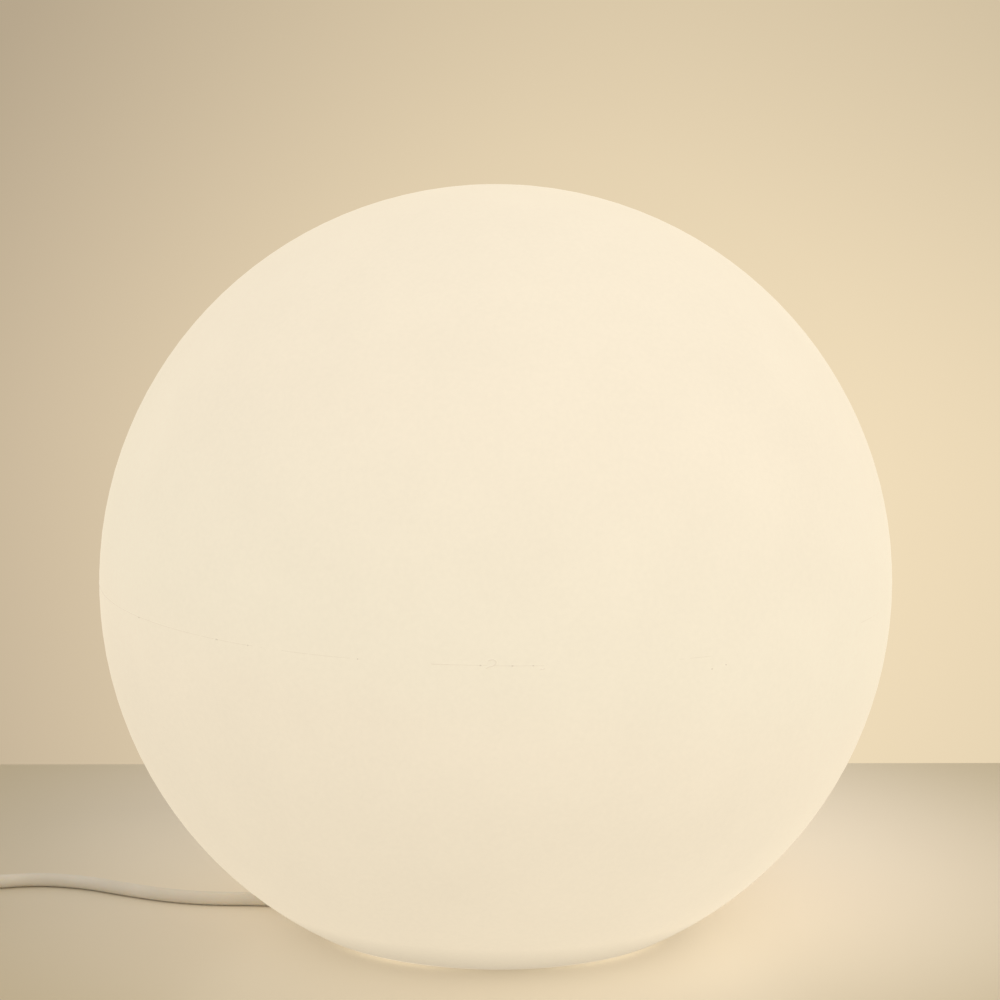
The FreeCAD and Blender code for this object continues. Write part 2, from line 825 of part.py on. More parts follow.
def least_self_gap(edges):
    """Least clear distance between turns, measured on points a few millimetres apart."""
    sample = 2.5
    points = []
    travelled = 0.0
    for edge in edges:
        steps = max(2, int(edge.Length / sample))
        for i in range(steps):
            place = edge.getParameterByLength(edge.Length * i / steps)
            points.append((travelled + edge.Length * i / steps, edge.valueAt(place)))
        travelled += edge.Length
    near = coil_inner_radius * 2
    least = min(a[1].distanceToPoint(b[1]) for i, a in enumerate(points) for b in points[i + 1:]
                if b[0] - a[0] > near)
    return least - 2 * cord_radius


def cord_coil(edges):
    """The wound cord, one unbroken tube with a faceted section."""
    start = V(*COIL_START)
    turn = math.pi / coil_section_sides
    section = []
    for i in range(coil_section_sides + 1):
        angle = turn + 2 * turn * i
        section.append(start + V(0, cord_radius * math.cos(angle), cord_radius * math.sin(angle)))
    tube = Part.Wire(edges).makePipeShell([Part.makePolygon(section)], True, False)
    return tube if tube.ShapeType == "Solid" else Part.Solid(Part.Shell(tube.Faces))


def tail_route(start):
    return [tuple(start + V(*step)) for step in TAIL_STEPS]


def laid(shape, start):
    """A piece of the plug, modelled along X from the origin, laid at the cord's end and pointing along -Y."""
    shape.rotate(V(0, 0, 0), UP, -90)
    shape.translate(start)
    return shape


def rounded_rectangle(x, width, height, corner):
    """Closed wire square to X, centred on the X axis."""
    hw = width / 2
    hh = height / 2
    points = [V(x, y, z) for y, z in ((-hw, -hh), (hw, -hh), (hw, hh), (-hw, hh))]
    edges = []
    arcs = [corner_arc(points[i - 1], points[i], points[(i + 1) % 4], corner) for i in range(4)]
    for i in range(4):
        edges.append(Part.Arc(*arcs[i]).toShape())
        edges.append(Part.LineSegment(arcs[i][2], arcs[(i + 1) % 4][0]).toShape())
    return Part.Wire(edges)


def plug_boot():
    """Tapered, grooved strain relief behind the plug."""
    body = Part.makeCone(boot_start_radius, boot_end_radius, boot_length, V(0, 0, 0), V(1, 0, 0))
    spacing = boot_length / (boot_groove_count + 2)
    for i in range(boot_groove_count):
        place = V(spacing * (i + 1), 0, 0)
        reach = boot_start_radius + (boot_end_radius - boot_start_radius) * place.x / boot_length
        outer = Part.makeCylinder(boot_end_radius + 1, boot_groove_width, place, V(1, 0, 0))
        inner = Part.makeCylinder(reach - boot_groove_depth, boot_groove_width, place, V(1, 0, 0))
        body = body.cut(outer.cut(inner))
    return body


def plug_body():
    """Flattened plug body that swells from the boot to its face, with grip grooves across both flat sides."""
    stations = [
        (0.0, plug_rear_width, plug_rear_height),
        (plug_waist_length, plug_waist_width, plug_waist_height),
        (plug_length - plug_face_length, plug_width - plug_face_draft, plug_height - plug_face_draft / 2),
        (plug_length, plug_width, plug_height),
    ]
    wires = []
    for along, width, height in stations:
        corner = min(plug_corner, plug_corner_share * height)
        wires.append(rounded_rectangle(boot_length + along, width, height, corner))
    body = Part.makeLoft(wires, True, False)
    rise = (plug_waist_height - plug_rear_height) / 2 / plug_waist_length
    for i in range(plug_grip_count):
        along = plug_grip_start + i * plug_grip_spacing
        level = plug_rear_height / 2 + rise * along + plug_grip_radius - plug_grip_depth
        for side in (-1, 1):
            place = V(boot_length + along, -plug_width / 2, side * level)
            body = body.cut(Part.makeCylinder(plug_grip_radius, plug_width, place, V(0, 1, 0)))
    return body


def plug_pins():
    face = boot_length + plug_length
    pins = []
    for y in (-pin_spacing / 2, pin_spacing / 2):
        pin = Part.makeCylinder(pin_radius, pin_length, V(face, y, 0), V(1, 0, 0))
        tip = [e for e in pin.Edges if abs(e.CenterOfMass.x - face - pin_length) < 1e-6]
        pins.append(pin.makeFillet(pin_end_round, tip))
    return pins


def save(name, shape):
    """One STEP file for a node, a single solid or a group of them."""
    solids = shape if isinstance(shape, list) else [shape]
    solids = [s for item in solids for s in item.Solids]
    for solid in solids:
        if not solid.isValid() or solid.Volume <= 0:
            print("BAD SOLID", name, solid.isValid(), solid.Volume)
    whole = solids[0] if len(solids) == 1 else Part.makeCompound(solids)
    whole.exportStep("parts/" + name + ".step")
    print(f"{name}: {len(solids)} solid(s), {whole.Volume:.0f} mm3")


def report_tube(name, solid, wire, radii):
    expected = math.pi * cord_radius ** 2 * wire.Length
    print(f"{name}: {wire.Length:.1f} mm long, least bend radius {min(radii):.1f} mm, "
          f"volume {solid.Volume / expected:.4f} of section times length")


def main():
    os.makedirs("parts", exist_ok=True)
    save("globe_shell", globe_shell())
    save("threaded_inserts", around(insert(), SCREW_ANGLES))
    save("base_screws", around(screw(), SCREW_ANGLES))
    save("base_gasket", gasket())
    save("lamp_base", lamp_base())
    save("gland_body", gland_body())
    save("gland_nut", gland_nut())
    save("gland_seal", gland_seal())
    save("gland_washer", gland_washer())
    save("gland_locknut", gland_locknut())
    save("holder_tube", holder_tube())
    save("holder_tube_nut", holder_tube_nut())
    save("holder_cap", holder_cap())
    save("holder_shell", holder_shell())
    save("contact_carrier", contact_carrier())
    save("thread_sleeve", thread_sleeve())
    save("centre_contact", centre_contact())
    save("terminals", terminals())
    save("terminal_screws", terminal_screws())
    save("inner_flex", inner_flex())
    save("core_brown", core(-1))
    save("core_blue", core(1))
    save("bulb_tip", bulb_tip())
    save("bulb_insulator", bulb_insulator())
    save("bulb_cap", bulb_cap())
    save("bulb_housing", bulb_housing())
    save("driver_board", driver_board())
    save("led_board", led_board())
    save("led_chips", led_chips())
    save("bulb_diffuser", bulb_diffuser())

    stretch_wire, stretch_radii = route_wire(STRETCH_ROUTE)
    stretch = tube_along(stretch_wire, cord_radius)
    save("cord_stretch", stretch)
    report_tube("cord_stretch", stretch, stretch_wire, stretch_radii)

    turns, coil_end = coil_edges()
    coil = cord_coil(turns)
    save("cord_coil", coil)
    coil_length = sum(edge.Length for edge in turns)
    share = coil_section_sides * math.sin(2 * math.pi / coil_section_sides) / 2
    print(f"cord_coil: {coil_length:.1f} mm long, least gap to itself {least_self_gap(turns):.2f} mm, "
          f"volume {coil.Volume / (share * cord_radius ** 2 * coil_length):.4f} of section times length")

    tail_wire, tail_radii = route_wire(tail_route(coil_end))
    tail = tube_along(tail_wire, cord_radius)
    save("cord_tail", tail)
    report_tube("cord_tail", tail, tail_wire, tail_radii)
    print(f"cord, gland to plug: {stretch_wire.Length + coil_length + tail_wire.Length:.0f} mm")

    plug_start = V(*tail_route(coil_end)[-1])
    save("plug_boot", laid(plug_boot(), plug_start))
    save("plug_body", laid(plug_body(), plug_start))
    save("plug_pins", [laid(pin, plug_start) for pin in plug_pins()])


main()
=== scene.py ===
import math

import bmesh
import bpy
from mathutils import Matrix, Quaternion, Vector, noise


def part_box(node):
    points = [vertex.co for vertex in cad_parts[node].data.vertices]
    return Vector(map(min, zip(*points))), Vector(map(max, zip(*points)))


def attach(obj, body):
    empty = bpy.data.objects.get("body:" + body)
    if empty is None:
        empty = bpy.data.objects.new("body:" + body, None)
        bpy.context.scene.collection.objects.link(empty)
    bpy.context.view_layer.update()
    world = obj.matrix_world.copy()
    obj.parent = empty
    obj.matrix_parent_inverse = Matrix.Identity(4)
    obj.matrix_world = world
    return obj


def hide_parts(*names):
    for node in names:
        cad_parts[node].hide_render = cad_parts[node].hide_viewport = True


bl_info = {
    "name": "Garden Globe Light",
    "version": (1, 0, 0),
    "blender": (4, 5, 0),
    "location": "3D View > Sidebar > Globe Light",
    "description": "Dresses a moulded garden globe light and sets it on a pale studio floor",
    "category": "Object",
}

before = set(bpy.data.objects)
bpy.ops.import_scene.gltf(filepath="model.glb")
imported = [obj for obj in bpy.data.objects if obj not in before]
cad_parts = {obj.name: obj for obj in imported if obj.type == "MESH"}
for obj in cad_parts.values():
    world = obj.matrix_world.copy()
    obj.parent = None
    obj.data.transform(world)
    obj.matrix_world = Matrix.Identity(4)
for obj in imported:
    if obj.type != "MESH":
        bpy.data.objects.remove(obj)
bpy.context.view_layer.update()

MM = 0.001
TURN = 2 * math.pi

# Places read from the frame
SHELL_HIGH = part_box("globe_shell")[1]
GLOBE_RADIUS = SHELL_HIGH.x
GLOBE_CENTRE = SHELL_HIGH.z - GLOBE_RADIUS
CAP_LOW, CAP_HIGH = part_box("bulb_cap")
SLEEVE_LOW, SLEEVE_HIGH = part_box("thread_sleeve")
HOLDER_LOW, HOLDER_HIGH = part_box("holder_shell")
TUBE_LOW, TUBE_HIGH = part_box("holder_tube")
SCREWS_LOW, SCREWS_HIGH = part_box("base_screws")
COIL_LOW, COIL_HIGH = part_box("cord_coil")


class GlobeSettings(bpy.types.PropertyGroup):
    glow: bpy.props.StringProperty(
        name="Glow", description="Colour of the lit globe's wall, as sRGB hex", default="#FFF0D5")
    glow_strength: bpy.props.FloatProperty(
        name="Glow Strength", description="Light that comes through the wall", default=0.73, min=0.0)
    wall: bpy.props.StringProperty(
        name="Wall", description="Colour of the moulded wall under room light, as sRGB hex",
        default="#8C8A84")
    line_width: bpy.props.FloatProperty(
        name="Mould Line Width", description="Width of the ridge where the mould halves met",
        default=0.7 * MM, subtype="DISTANCE", unit="LENGTH")
    line_height: bpy.props.FloatProperty(
        name="Mould Line Height", description="How far the ridge stands proud where it is strongest",
        default=0.22 * MM, subtype="DISTANCE", unit="LENGTH")


class LampSettings(bpy.types.PropertyGroup):
    base: bpy.props.StringProperty(
        name="Lamp Base", description="Colour of the moulded lamp base, as sRGB hex", default="#E4E1DA")
    holder: bpy.props.StringProperty(
        name="Lampholder", description="Colour of the lampholder, as sRGB hex", default="#F0EEE8")
    grip_count: bpy.props.IntProperty(
        name="Grip Grooves", description="Number of grooves round the lampholder", default=24, min=8)
    grip_depth: bpy.props.FloatProperty(
        name="Grip Depth", description="Depth of the grip grooves",
        default=0.6 * MM, subtype="DISTANCE", unit="LENGTH")


class BulbSettings(bpy.types.PropertyGroup):
    opal: bpy.props.StringProperty(
        name="Opal", description="Colour of the lit diffuser, as sRGB hex", default="#FFF1D2")
    opal_strength: bpy.props.FloatProperty(
        name="Bulb Glow", description="Light from the diffuser", default=0.85, min=0.0)
    cap_pitch: bpy.props.FloatProperty(
        name="Cap Thread Pitch", description="Rise of the bulb's thread in one turn",
        default=3.63 * MM, subtype="DISTANCE", unit="LENGTH")


class CordSettings(bpy.types.PropertyGroup):
    length: bpy.props.FloatProperty(
        name="Cord Length", description="From the gland to the plug", default=2.0, unit="LENGTH")
    diameter: bpy.props.FloatProperty(
        name="Cord Diameter", description="Round mains lead",
        default=7.0 * MM, subtype="DISTANCE", unit="LENGTH")
    sheath: bpy.props.StringProperty(
        name="Sheath", description="Colour of the cord's sheath, as sRGB hex", default="#E6E0D4")


class StageSettings(bpy.types.PropertyGroup):
    # The table's two colours paint a pool of light round the globe: lighter near it, darker away
    table: bpy.props.StringProperty(
        name="Table", description="Colour of the floor near the light, as sRGB hex", default="#FFF5E6")
    table_far: bpy.props.StringProperty(
        name="Table Far Off", description="Colour of the floor away from the light, as sRGB hex",
        default="#C6BA9E")
    # The backdrop's two colours paint light that is stronger on the right
    backdrop_left: bpy.props.StringProperty(
        name="Backdrop Left", description="Colour of the backdrop on the left, as sRGB hex",
        default="#C2B096")
    backdrop_right: bpy.props.StringProperty(
        name="Backdrop Right", description="Colour of the backdrop on the right, as sRGB hex",
        default="#EBD8B6")
    room_light: bpy.props.FloatProperty(
        name="Room Light", description="Light from all round", default=0.62, min=0.0)
    table_depth: bpy.props.FloatProperty(
        name="Table Depth", description="From the globe's axis to the far edge of the table",
        default=0.308, subtype="DISTANCE", unit="LENGTH")
    table_slant: bpy.props.FloatProperty(
        name="Table Slant", description="How far the far edge runs back for each metre to the right",
        default=0.0605)
    lens: bpy.props.FloatProperty(
        name="Lens", description="Focal length of the camera on a 36 mm sensor", default=118.5, unit="CAMERA")


def linear(code):
    """Linear RGBA from an sRGB hex code."""
    channels = [int(code[i:i + 2], 16) / 255 for i in (1, 3, 5)]
    return [c / 12.92 if c <= 0.04045 else ((c + 0.055) / 1.055) ** 2.4 for c in channels] + [1.0]


def add(tree, kind, inputs=None, **settings):
    """A node with its settings, its values and the links that feed it."""
    made = tree.nodes.new(kind)
    for name, value in settings.items():
        setattr(made, name, value)
    for socket, value in (inputs or {}).items():
        if isinstance(value, bpy.types.NodeSocket):
            tree.links.new(value, made.inputs[socket])
        else:
            made.inputs[socket].default_value = value
    return made


def span(low, high, to_low=0.0, to_high=1.0):
    """Values that take one range to another."""
    return {"From Min": low, "From Max": high, "To Min": to_low, "To Max": to_high}


def blank(name):
    """New material and its empty tree."""
    made = bpy.data.materials.new(name)
    made.use_nodes = True
    made.node_tree.nodes.clear()
    return made, made.node_tree


def shade(tree, inputs):
    """One Principled shader with its values and links, on to the material's output."""
    shader = add(tree, "ShaderNodeBsdfPrincipled", inputs)
    add(tree, "ShaderNodeOutputMaterial", {"Surface": shader.outputs["BSDF"]})


# Direction in which a seed shifts a pattern
SEED_SHIFT = (1.0, 0.7, 1.3)


def mottled(tree, code, size, spread, seed=0.0):
    """Colour that drifts a little lighter and darker over patches of a real size in metres."""
    place = add(tree, "ShaderNodeTexCoord").outputs["Object"]
    shifted = add(tree, "ShaderNodeVectorMath", {0: place, 1: [seed * share for share in SEED_SHIFT]},
                  operation="ADD")
    clouds = add(tree, "ShaderNodeTexNoise", {"Vector": shifted.outputs[0], "Scale": 1 / size,
                                              "Detail": 3.0, "Roughness": 0.55})
    ramp = add(tree, "ShaderNodeValToRGB", {"Fac": clouds.outputs["Fac"]})
    base = linear(code)
    ends = ramp.color_ramp.elements
    ends[0].position, ends[1].position = 0.3, 0.7
    ends[0].color = [c * (1 - spread) for c in base[:3]] + [1.0]
    ends[1].color = [min(1.0, c * (1 + spread)) for c in base[:3]] + [1.0]
    return ramp.outputs["Color"]


def grain(tree, size, depth, kind="noise", before=None):
    """Bump from noise or cells of a real size, with a real depth, both in metres."""
    place = add(tree, "ShaderNodeTexCoord").outputs["Object"]
    if kind == "cells":
        made = add(tree, "ShaderNodeTexVoronoi", {"Vector": place, "Scale": 1 / size}, feature="SMOOTH_F1")
        height = made.outputs["Distance"]
    else:
        made = add(tree, "ShaderNodeTexNoise", {"Vector": place, "Scale": 1 / size, "Detail": 2.0})
        height = made.outputs["Fac"]
    inputs = {"Height": height, "Distance": depth, "Strength": 1.0}
    if before:
        inputs["Normal"] = before
    return add(tree, "ShaderNodeBump", inputs).outputs["Normal"]


# How far the bulb's light leans to the right, so that the lower left is a little dimmer
LIGHT_LEAN = 0.15
# How the glow runs up the globe: height as a share of the whole, and the share of light there
GLOW_STOPS = [(0.0, 0.88), (0.06, 0.905), (0.2, 0.96), (0.38, 1.015), (0.5, 1.02), (0.7, 1.0), (0.95, 0.98)]
# How high the painted shade at the foot reaches, and the share of light that it leaves at its bottom
FOOT_SHADE_HEIGHT = 20.0 * MM
FOOT_SHADE_SHARE = 0.71
# The painted bright line at the foot, light painted as if it leaked under the ring: where it starts, is full,
# starts to fade and ends, how much it adds, and how many stretches it has round the foot, turned by an angle
LEAK_BAND = (0.05 * MM, 0.4 * MM, 1.3 * MM, 2.5 * MM)
LEAK_GAIN = 0.5
LEAK_STRETCHES = 5
LEAK_TURN = math.radians(65)


def foot_light(tree, place):
    """Share of the light down at the foot: painted shade dims the glow towards the table, and a painted
    bright line lies in stretches just above the table, as if light leaked under the ring."""
    axes = add(tree, "ShaderNodeSeparateXYZ", {"Vector": place}).outputs
    # Painted shade: the glow dims towards the table
    fade = add(tree, "ShaderNodeMapRange", {"Value": axes["Z"], **span(0.0, FOOT_SHADE_HEIGHT, FOOT_SHADE_SHARE)})
    # Painted bright line just above the table, in stretches round the foot
    rise = add(tree, "ShaderNodeMapRange", {"Value": axes["Z"], **span(*LEAK_BAND[:2])})
    fall = add(tree, "ShaderNodeMapRange", {"Value": axes["Z"], **span(*LEAK_BAND[2:], LEAK_GAIN, 0.0)})
    band = add(tree, "ShaderNodeMath", {0: rise.outputs[0], 1: fall.outputs[0]}, operation="MULTIPLY")
    facing = add(tree, "ShaderNodeMath", {0: axes["Y"], 1: axes["X"]}, operation="ARCTAN2")
    turned = add(tree, "ShaderNodeMath", {0: facing.outputs[0], 1: LEAK_STRETCHES, 2: LEAK_TURN},
                 operation="MULTIPLY_ADD")
    wave = add(tree, "ShaderNodeMath", {0: turned.outputs[0]}, operation="COSINE")
    stretch = add(tree, "ShaderNodeMapRange", {"Value": wave.outputs[0], **span(1.0, -1.0)})
    leak = add(tree, "ShaderNodeMath", {0: band.outputs[0], 1: stretch.outputs[0], 2: 1.0},
               operation="MULTIPLY_ADD")
    whole = add(tree, "ShaderNodeMath", {0: fade.outputs[0], 1: leak.outputs[0]}, operation="MULTIPLY")
    return whole.outputs[0]


def moulded_polyethylene(name, wall, glow, strength, tone=1.0):
    """Rotationally moulded polyethylene, 4 mm thick and lit from inside: a satin skin that glows almost
    evenly, with faint clouds where the powder fused thicker, a fine orange peel, painted shade that dims the
    glow towards the foot and a painted bright line just above the table. A tone below 1 darkens the skin and
    its glow."""
    made, tree = blank(name)
    skin = "#" + "".join("%02X" % round(int(wall[i:i + 2], 16) * tone) for i in (1, 3, 5))
    place = add(tree, "ShaderNodeTexCoord").outputs["Object"]
    height = add(tree, "ShaderNodeVectorMath", {0: place, 1: (LIGHT_LEAN, 0.0, 1.0)}, operation="DOT_PRODUCT")
    risen = add(tree, "ShaderNodeMapRange", {"Value": height.outputs["Value"], **span(0.0, 2 * GLOBE_RADIUS)})
    level = add(tree, "ShaderNodeValToRGB", {"Fac": risen.outputs["Result"]})
    light = linear(glow)
    ramp = level.color_ramp
    ramp.interpolation = "B_SPLINE"
    while len(ramp.elements) < len(GLOW_STOPS):
        ramp.elements.new(0.5)
    for element, (position, share) in zip(ramp.elements, GLOW_STOPS):
        element.position = position
        element.color = [c * share * tone for c in light[:3]] + [1.0]
    clouds = mottled(tree, "#FDFDFD", size=45 * MM, spread=0.012, seed=3.1)
    powder = mottled(tree, "#FDFDFD", size=2.4 * MM, spread=0.014, seed=7.7)
    glowing = level.outputs["Color"]
    for share in (clouds, powder, foot_light(tree, place)):
        glowing = add(tree, "ShaderNodeMix", {"Factor": 1.0, "A": glowing, "B": share},
                      data_type="RGBA", blend_type="MULTIPLY").outputs["Result"]
    peel = grain(tree, size=1.4 * MM, depth=0.012 * MM)
    shade(tree, {"Base Color": mottled(tree, skin, size=60 * MM, spread=0.02), "Roughness": 0.6, "IOR": 1.51,
                 "Specular IOR Level": 0.25, "Emission Color": glowing, "Emission Strength": strength,
                 "Normal": grain(tree, size=9 * MM, depth=0.03 * MM, before=peel)})
    return made


# Plastics: roughness, size of colour patches, size and depth of the skin, all in mm, and gloss coat
PLASTICS = {
    "moulded_polypropylene": (0.5, 40, 0.9, 0.02, 0.0),  # half matt, finely spark-eroded
    "moulded_polyamide": (0.55, 15, 0.6, 0.02, 0.0),  # matt and a little grey
    "moulded_pbt": (0.28, 20, 1.5, 0.01, 0.15),  # smooth and softly glossy
    "moulded_polycarbonate": (0.3, 20, 1.2, 0.008, 0.1),  # smooth, with a low gloss
    "moulded_pvc": (0.42, 12, 0.8, 0.02, 0.0),  # half matt, like the cord
    "pressed_steatite": (0.7, 8, 0.5, 0.03, 0.0),  # dull ceramic, faintly rough
    "vitrite": (0.12, 6, 2, 0.01, 0.4),  # black glass with a high gloss
}
# Metals: colour, mean roughness, size and depth of the tool lines in mm, and how their pattern is stretched
METALS = {
    "turned_brass": ("#C9A45B", 0.3, 0.3, 0.02, (1, 1, 6)),  # fine turning rings
    "rolled_brass": ("#C9A45B", 0.25, 0.5, 0.01, (1, 1, 1)),  # bright and smooth
    "nickel_plated_brass": ("#C8C6C0", 0.2, 0.5, 0.01, (1, 1, 1)),  # bright, a little warm
    "plated_pins": ("#C8C6C0", 0.22, 0.4, 0.008, (1, 0.2, 1)),  # bright, drawn lengthways
    "zinc_plated_steel": ("#B9BCBE", 0.32, 0.4, 0.01, (1, 1, 1)),  # cool and slightly dull
    "bright_steel": ("#C2C4C6", 0.25, 0.3, 0.01, (1, 1, 1)),  # cool and bright
    "white_board_on_aluminium": ("#DADCDD", 0.45, 0.6, 0.005, (1, 1, 1)),  # pale with a dull sheen
}
# Roughness of a metal between its tool lines and on them, as shares of the mean
TOOL_LINES = (0.8, 1.25)
# Colour of a lit diffuser under room light alone, darker than the plastic's, because it glows as well
OPAL_BASE = "#8F8B82"
# Width of a circuit board's tracks, and how much lighter the lacquer is over them
TRACK_WIDTH = 3 * MM
TRACK_GAIN = 1.5


def moulded_plastic(name, code):
    """Moulded plastic, or pressed ceramic or glass: one even colour, a fine spark-eroded or polished skin."""
    made, tree = blank(name)
    roughness, patch, skin, depth, coat = PLASTICS[name]
    shade(tree, {"Base Color": mottled(tree, code, patch * MM, spread=0.015), "Roughness": roughness,
                 "IOR": 1.49, "Coat Weight": coat, "Normal": grain(tree, skin * MM, depth * MM)})
    return made


def rubber(name, code):
    """EPDM rubber, moulded: matt, nearly black, with a dry bloom in patches."""
    made, tree = blank(name)
    shade(tree, {"Base Color": mottled(tree, code, size=6 * MM, spread=0.18), "Roughness": 0.85, "IOR": 1.52,
                 "Normal": grain(tree, size=0.8 * MM, depth=0.03 * MM)})
    return made


def metal(name):
    """Metal part, turned, drawn or plated: fine tool lines in the direction that the stretch gives."""
    made, tree = blank(name)
    code, roughness, skin, depth, stretch = METALS[name]
    place = add(tree, "ShaderNodeTexCoord").outputs["Object"]
    drawn = add(tree, "ShaderNodeVectorMath", {0: place, 1: stretch}, operation="MULTIPLY")
    lines = add(tree, "ShaderNodeTexNoise", {"Vector": drawn.outputs[0], "Scale": 1 / (skin * MM),
                                             "Detail": 2.0}).outputs["Fac"]
    ends = [roughness * share for share in TOOL_LINES]
    rough = add(tree, "ShaderNodeMapRange", {"Value": lines, **span(0.0, 1.0, *ends)})
    bump = add(tree, "ShaderNodeBump", {"Height": lines, "Distance": depth * MM, "Strength": 1.0})
    shade(tree, {"Base Color": mottled(tree, code, size=5 * MM, spread=0.06), "Metallic": 1.0,
                 "Roughness": rough.outputs["Result"], "Normal": bump.outputs["Normal"]})
    return made


def extruded_pvc(name, code):
    """Extruded flexible PVC sheath: half matt, with faint handling marks, and light that soaks about a
    millimetre and a half into it, so that its underside isn't quite dark."""
    made, tree = blank(name)
    shade(tree, {"Base Color": mottled(tree, code, size=30 * MM, spread=0.035), "Roughness": 0.46,
                 "IOR": 1.53, "Subsurface Weight": 0.6, "Subsurface Radius": (1.0, 0.8, 0.6),
                 "Subsurface Scale": 1.5 * MM, "Normal": grain(tree, size=2.2 * MM, depth=0.02 * MM)})
    return made


def lit_opal(name, code, strength):
    """Opal polycarbonate, or the gel over a chip, with the light on: a soft even glow under a thin gloss."""
    made, tree = blank(name)
    shade(tree, {"Base Color": mottled(tree, OPAL_BASE, size=20 * MM, spread=0.02), "Roughness": 0.3,
                 "IOR": 1.58, "Emission Color": mottled(tree, code, size=12 * MM, spread=0.02),
                 "Emission Strength": strength, "Normal": grain(tree, size=0.7 * MM, depth=0.01 * MM)})
    return made


def lacquered_board(name, code):
    """Lacquered circuit board: dark green, glossy, with the copper's pattern faint under the lacquer."""
    made, tree = blank(name)
    place = add(tree, "ShaderNodeTexCoord").outputs["Object"]
    cells = add(tree, "ShaderNodeTexVoronoi", {"Vector": place, "Scale": 1 / TRACK_WIDTH},
                distance="MANHATTAN")
    tracks = [c * TRACK_GAIN for c in linear(code)[:3]] + [1.0]
    tone = add(tree, "ShaderNodeMix", {"Factor": cells.outputs["Distance"], "A": linear(code), "B": tracks},
               data_type="RGBA")
    shade(tree, {"Base Color": tone.outputs["Result"], "Roughness": 0.35, "IOR": 1.5,
                 "Normal": grain(tree, size=2 * MM, depth=0.02 * MM, kind="cells")})
    return made


def fill_slots(thing, material):
    """Give every material slot of an object the same material."""
    if not thing.material_slots:
        thing.data.materials.append(material)
    for slot in thing.material_slots:
        slot.material = material


def finish_nodes(material, *names):
    """Give nodes of the frame a material all over."""
    for name in names:
        fill_slots(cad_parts[name], material)


def place_piece(name, data, body, material):
    """Object that rides on a body, with its material."""
    piece = bpy.data.objects.new(name, data)
    bpy.context.scene.collection.objects.link(piece)
    fill_slots(piece, material)
    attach(piece, body)
    return piece


def mesh_piece(name, builder, body, material, replaced=(), angle=40.0):
    """Piece from a bmesh that builder fills, smooth but for edges sharper than an angle in degrees."""
    data = bpy.data.meshes.new(name)
    shape = bmesh.new()
    builder(shape)
    bmesh.ops.recalc_face_normals(shape, faces=shape.faces)
    shape.to_mesh(data)
    shape.free()
    data.shade_smooth()
    data.set_sharp_from_angle(angle=math.radians(angle))
    piece = place_piece(name, data, body, material)
    if replaced:
        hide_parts(*replaced)
    return piece


def spun_corner(shape, angle, radius, height, offset, centre=(0.0, 0.0)):
    """Corner of a turned surface, where offset(angle, radius, height) gives what to add to the radius."""
    reach = radius + offset(angle, radius, height)
    return shape.verts.new((centre[0] + reach * math.cos(angle), centre[1] + reach * math.sin(angle), height))


def join_rows(shape, rows, following):
    """Quads between each closed row of corners and the one that follows it."""
    for here, there in zip(rows, following):
        for k in range(len(here)):
            j = (k + 1) % len(here)
            shape.faces.new((here[k], there[k], there[j], here[j]))


def close_ends(shape, first, rows, last):
    """Quads between closed rows of corners, and triangles from the end rows to a corner at each end."""
    count = len(rows[0])
    for i in range(count):
        j = (i + 1) % count
        shape.faces.new((first, rows[0][j], rows[0][i]))
        shape.faces.new((last, rows[-1][i], rows[-1][j]))
        for low, high in zip(rows, rows[1:]):
            shape.faces.new((low[i], low[j], high[j], high[i]))


def lathe(shape, profile, segments, offset):
    """Ring with a closed profile of (radius, height), turned about the upright axis of the light."""
    angles = [TURN * i / segments for i in range(segments)]
    rows = [[spun_corner(shape, angle, *point, offset) for point in profile] for angle in angles]
    join_rows(shape, rows, rows[1:] + rows[:1])


def spun_cap(shape, profile, segments, centre, offset):
    """Solid of revolution about an upright axis at the centre, whose profile starts and ends on the axis."""
    angles = [TURN * i / segments for i in range(segments)]
    inner = profile[1:-1]
    rows = [[spun_corner(shape, angle, *point, offset, centre) for angle in angles] for point in inner]
    first, last = (shape.verts.new((*centre, profile[i][1])) for i in (0, -1))
    close_ends(shape, first, rows, last)


def tube_piece(name, points, radius, body, material, bevel, resolution):
    """Piece that is a round tube on one open NURBS spline."""
    data = bpy.data.curves.new(name, "CURVE")
    data.dimensions = "3D"
    data.bevel_depth = radius
    data.bevel_resolution = bevel
    data.resolution_u = resolution
    data.use_fill_caps = True
    spline = data.splines.new("NURBS")
    spline.points.add(len(points) - 1)
    for made, place in zip(spline.points, points):
        made.co = (*place, 1.0)
    spline.order_u = 3
    spline.use_endpoint_u = True
    return place_piece(name, data, body, material)


# Steps in a rounded edge or corner
ROUND_STEPS = 6


def steps(start, end, count):
    """Evenly spaced values from start to end, both of them among them."""
    return [start + (end - start) * i / count for i in range(count + 1)]


def thread_offset(pitch, depth, low, high, runout):
    """Radius change of a rounded thread between two heights, fading in and out over a runout."""
    def offset(angle, radius, height):
        fade = min(1.0, max(0.0, (height - low) / runout), max(0.0, (high - height) / runout))
        phase = height / pitch - angle / TURN
        return -depth * fade * (0.5 - 0.5 * math.cos(TURN * phase))
    return offset


# What the mould line does round the globe, as (degrees from the front towards +X, to, strength)
LINE_STRETCHES = [
    (-100, -47, 0.72), (-47, -34, 0.5), (-34, -21, 0.24), (-21, -8, 0.17), (-8, -4.4, 0.75), (-4.4, -1, 0.4),
    (-1, 6.5, 0.42), (6.5, 24, 0.12), (24, 32, 0.2), (32, 60, 0.12), (60, 100, 0.22),
]
# Its strength behind the globe, what it loses everywhere, so that weak stretches break up, and its most
LINE_BEHIND, LINE_LESS, LINE_MOST = 0.45, 0.05, 1.2
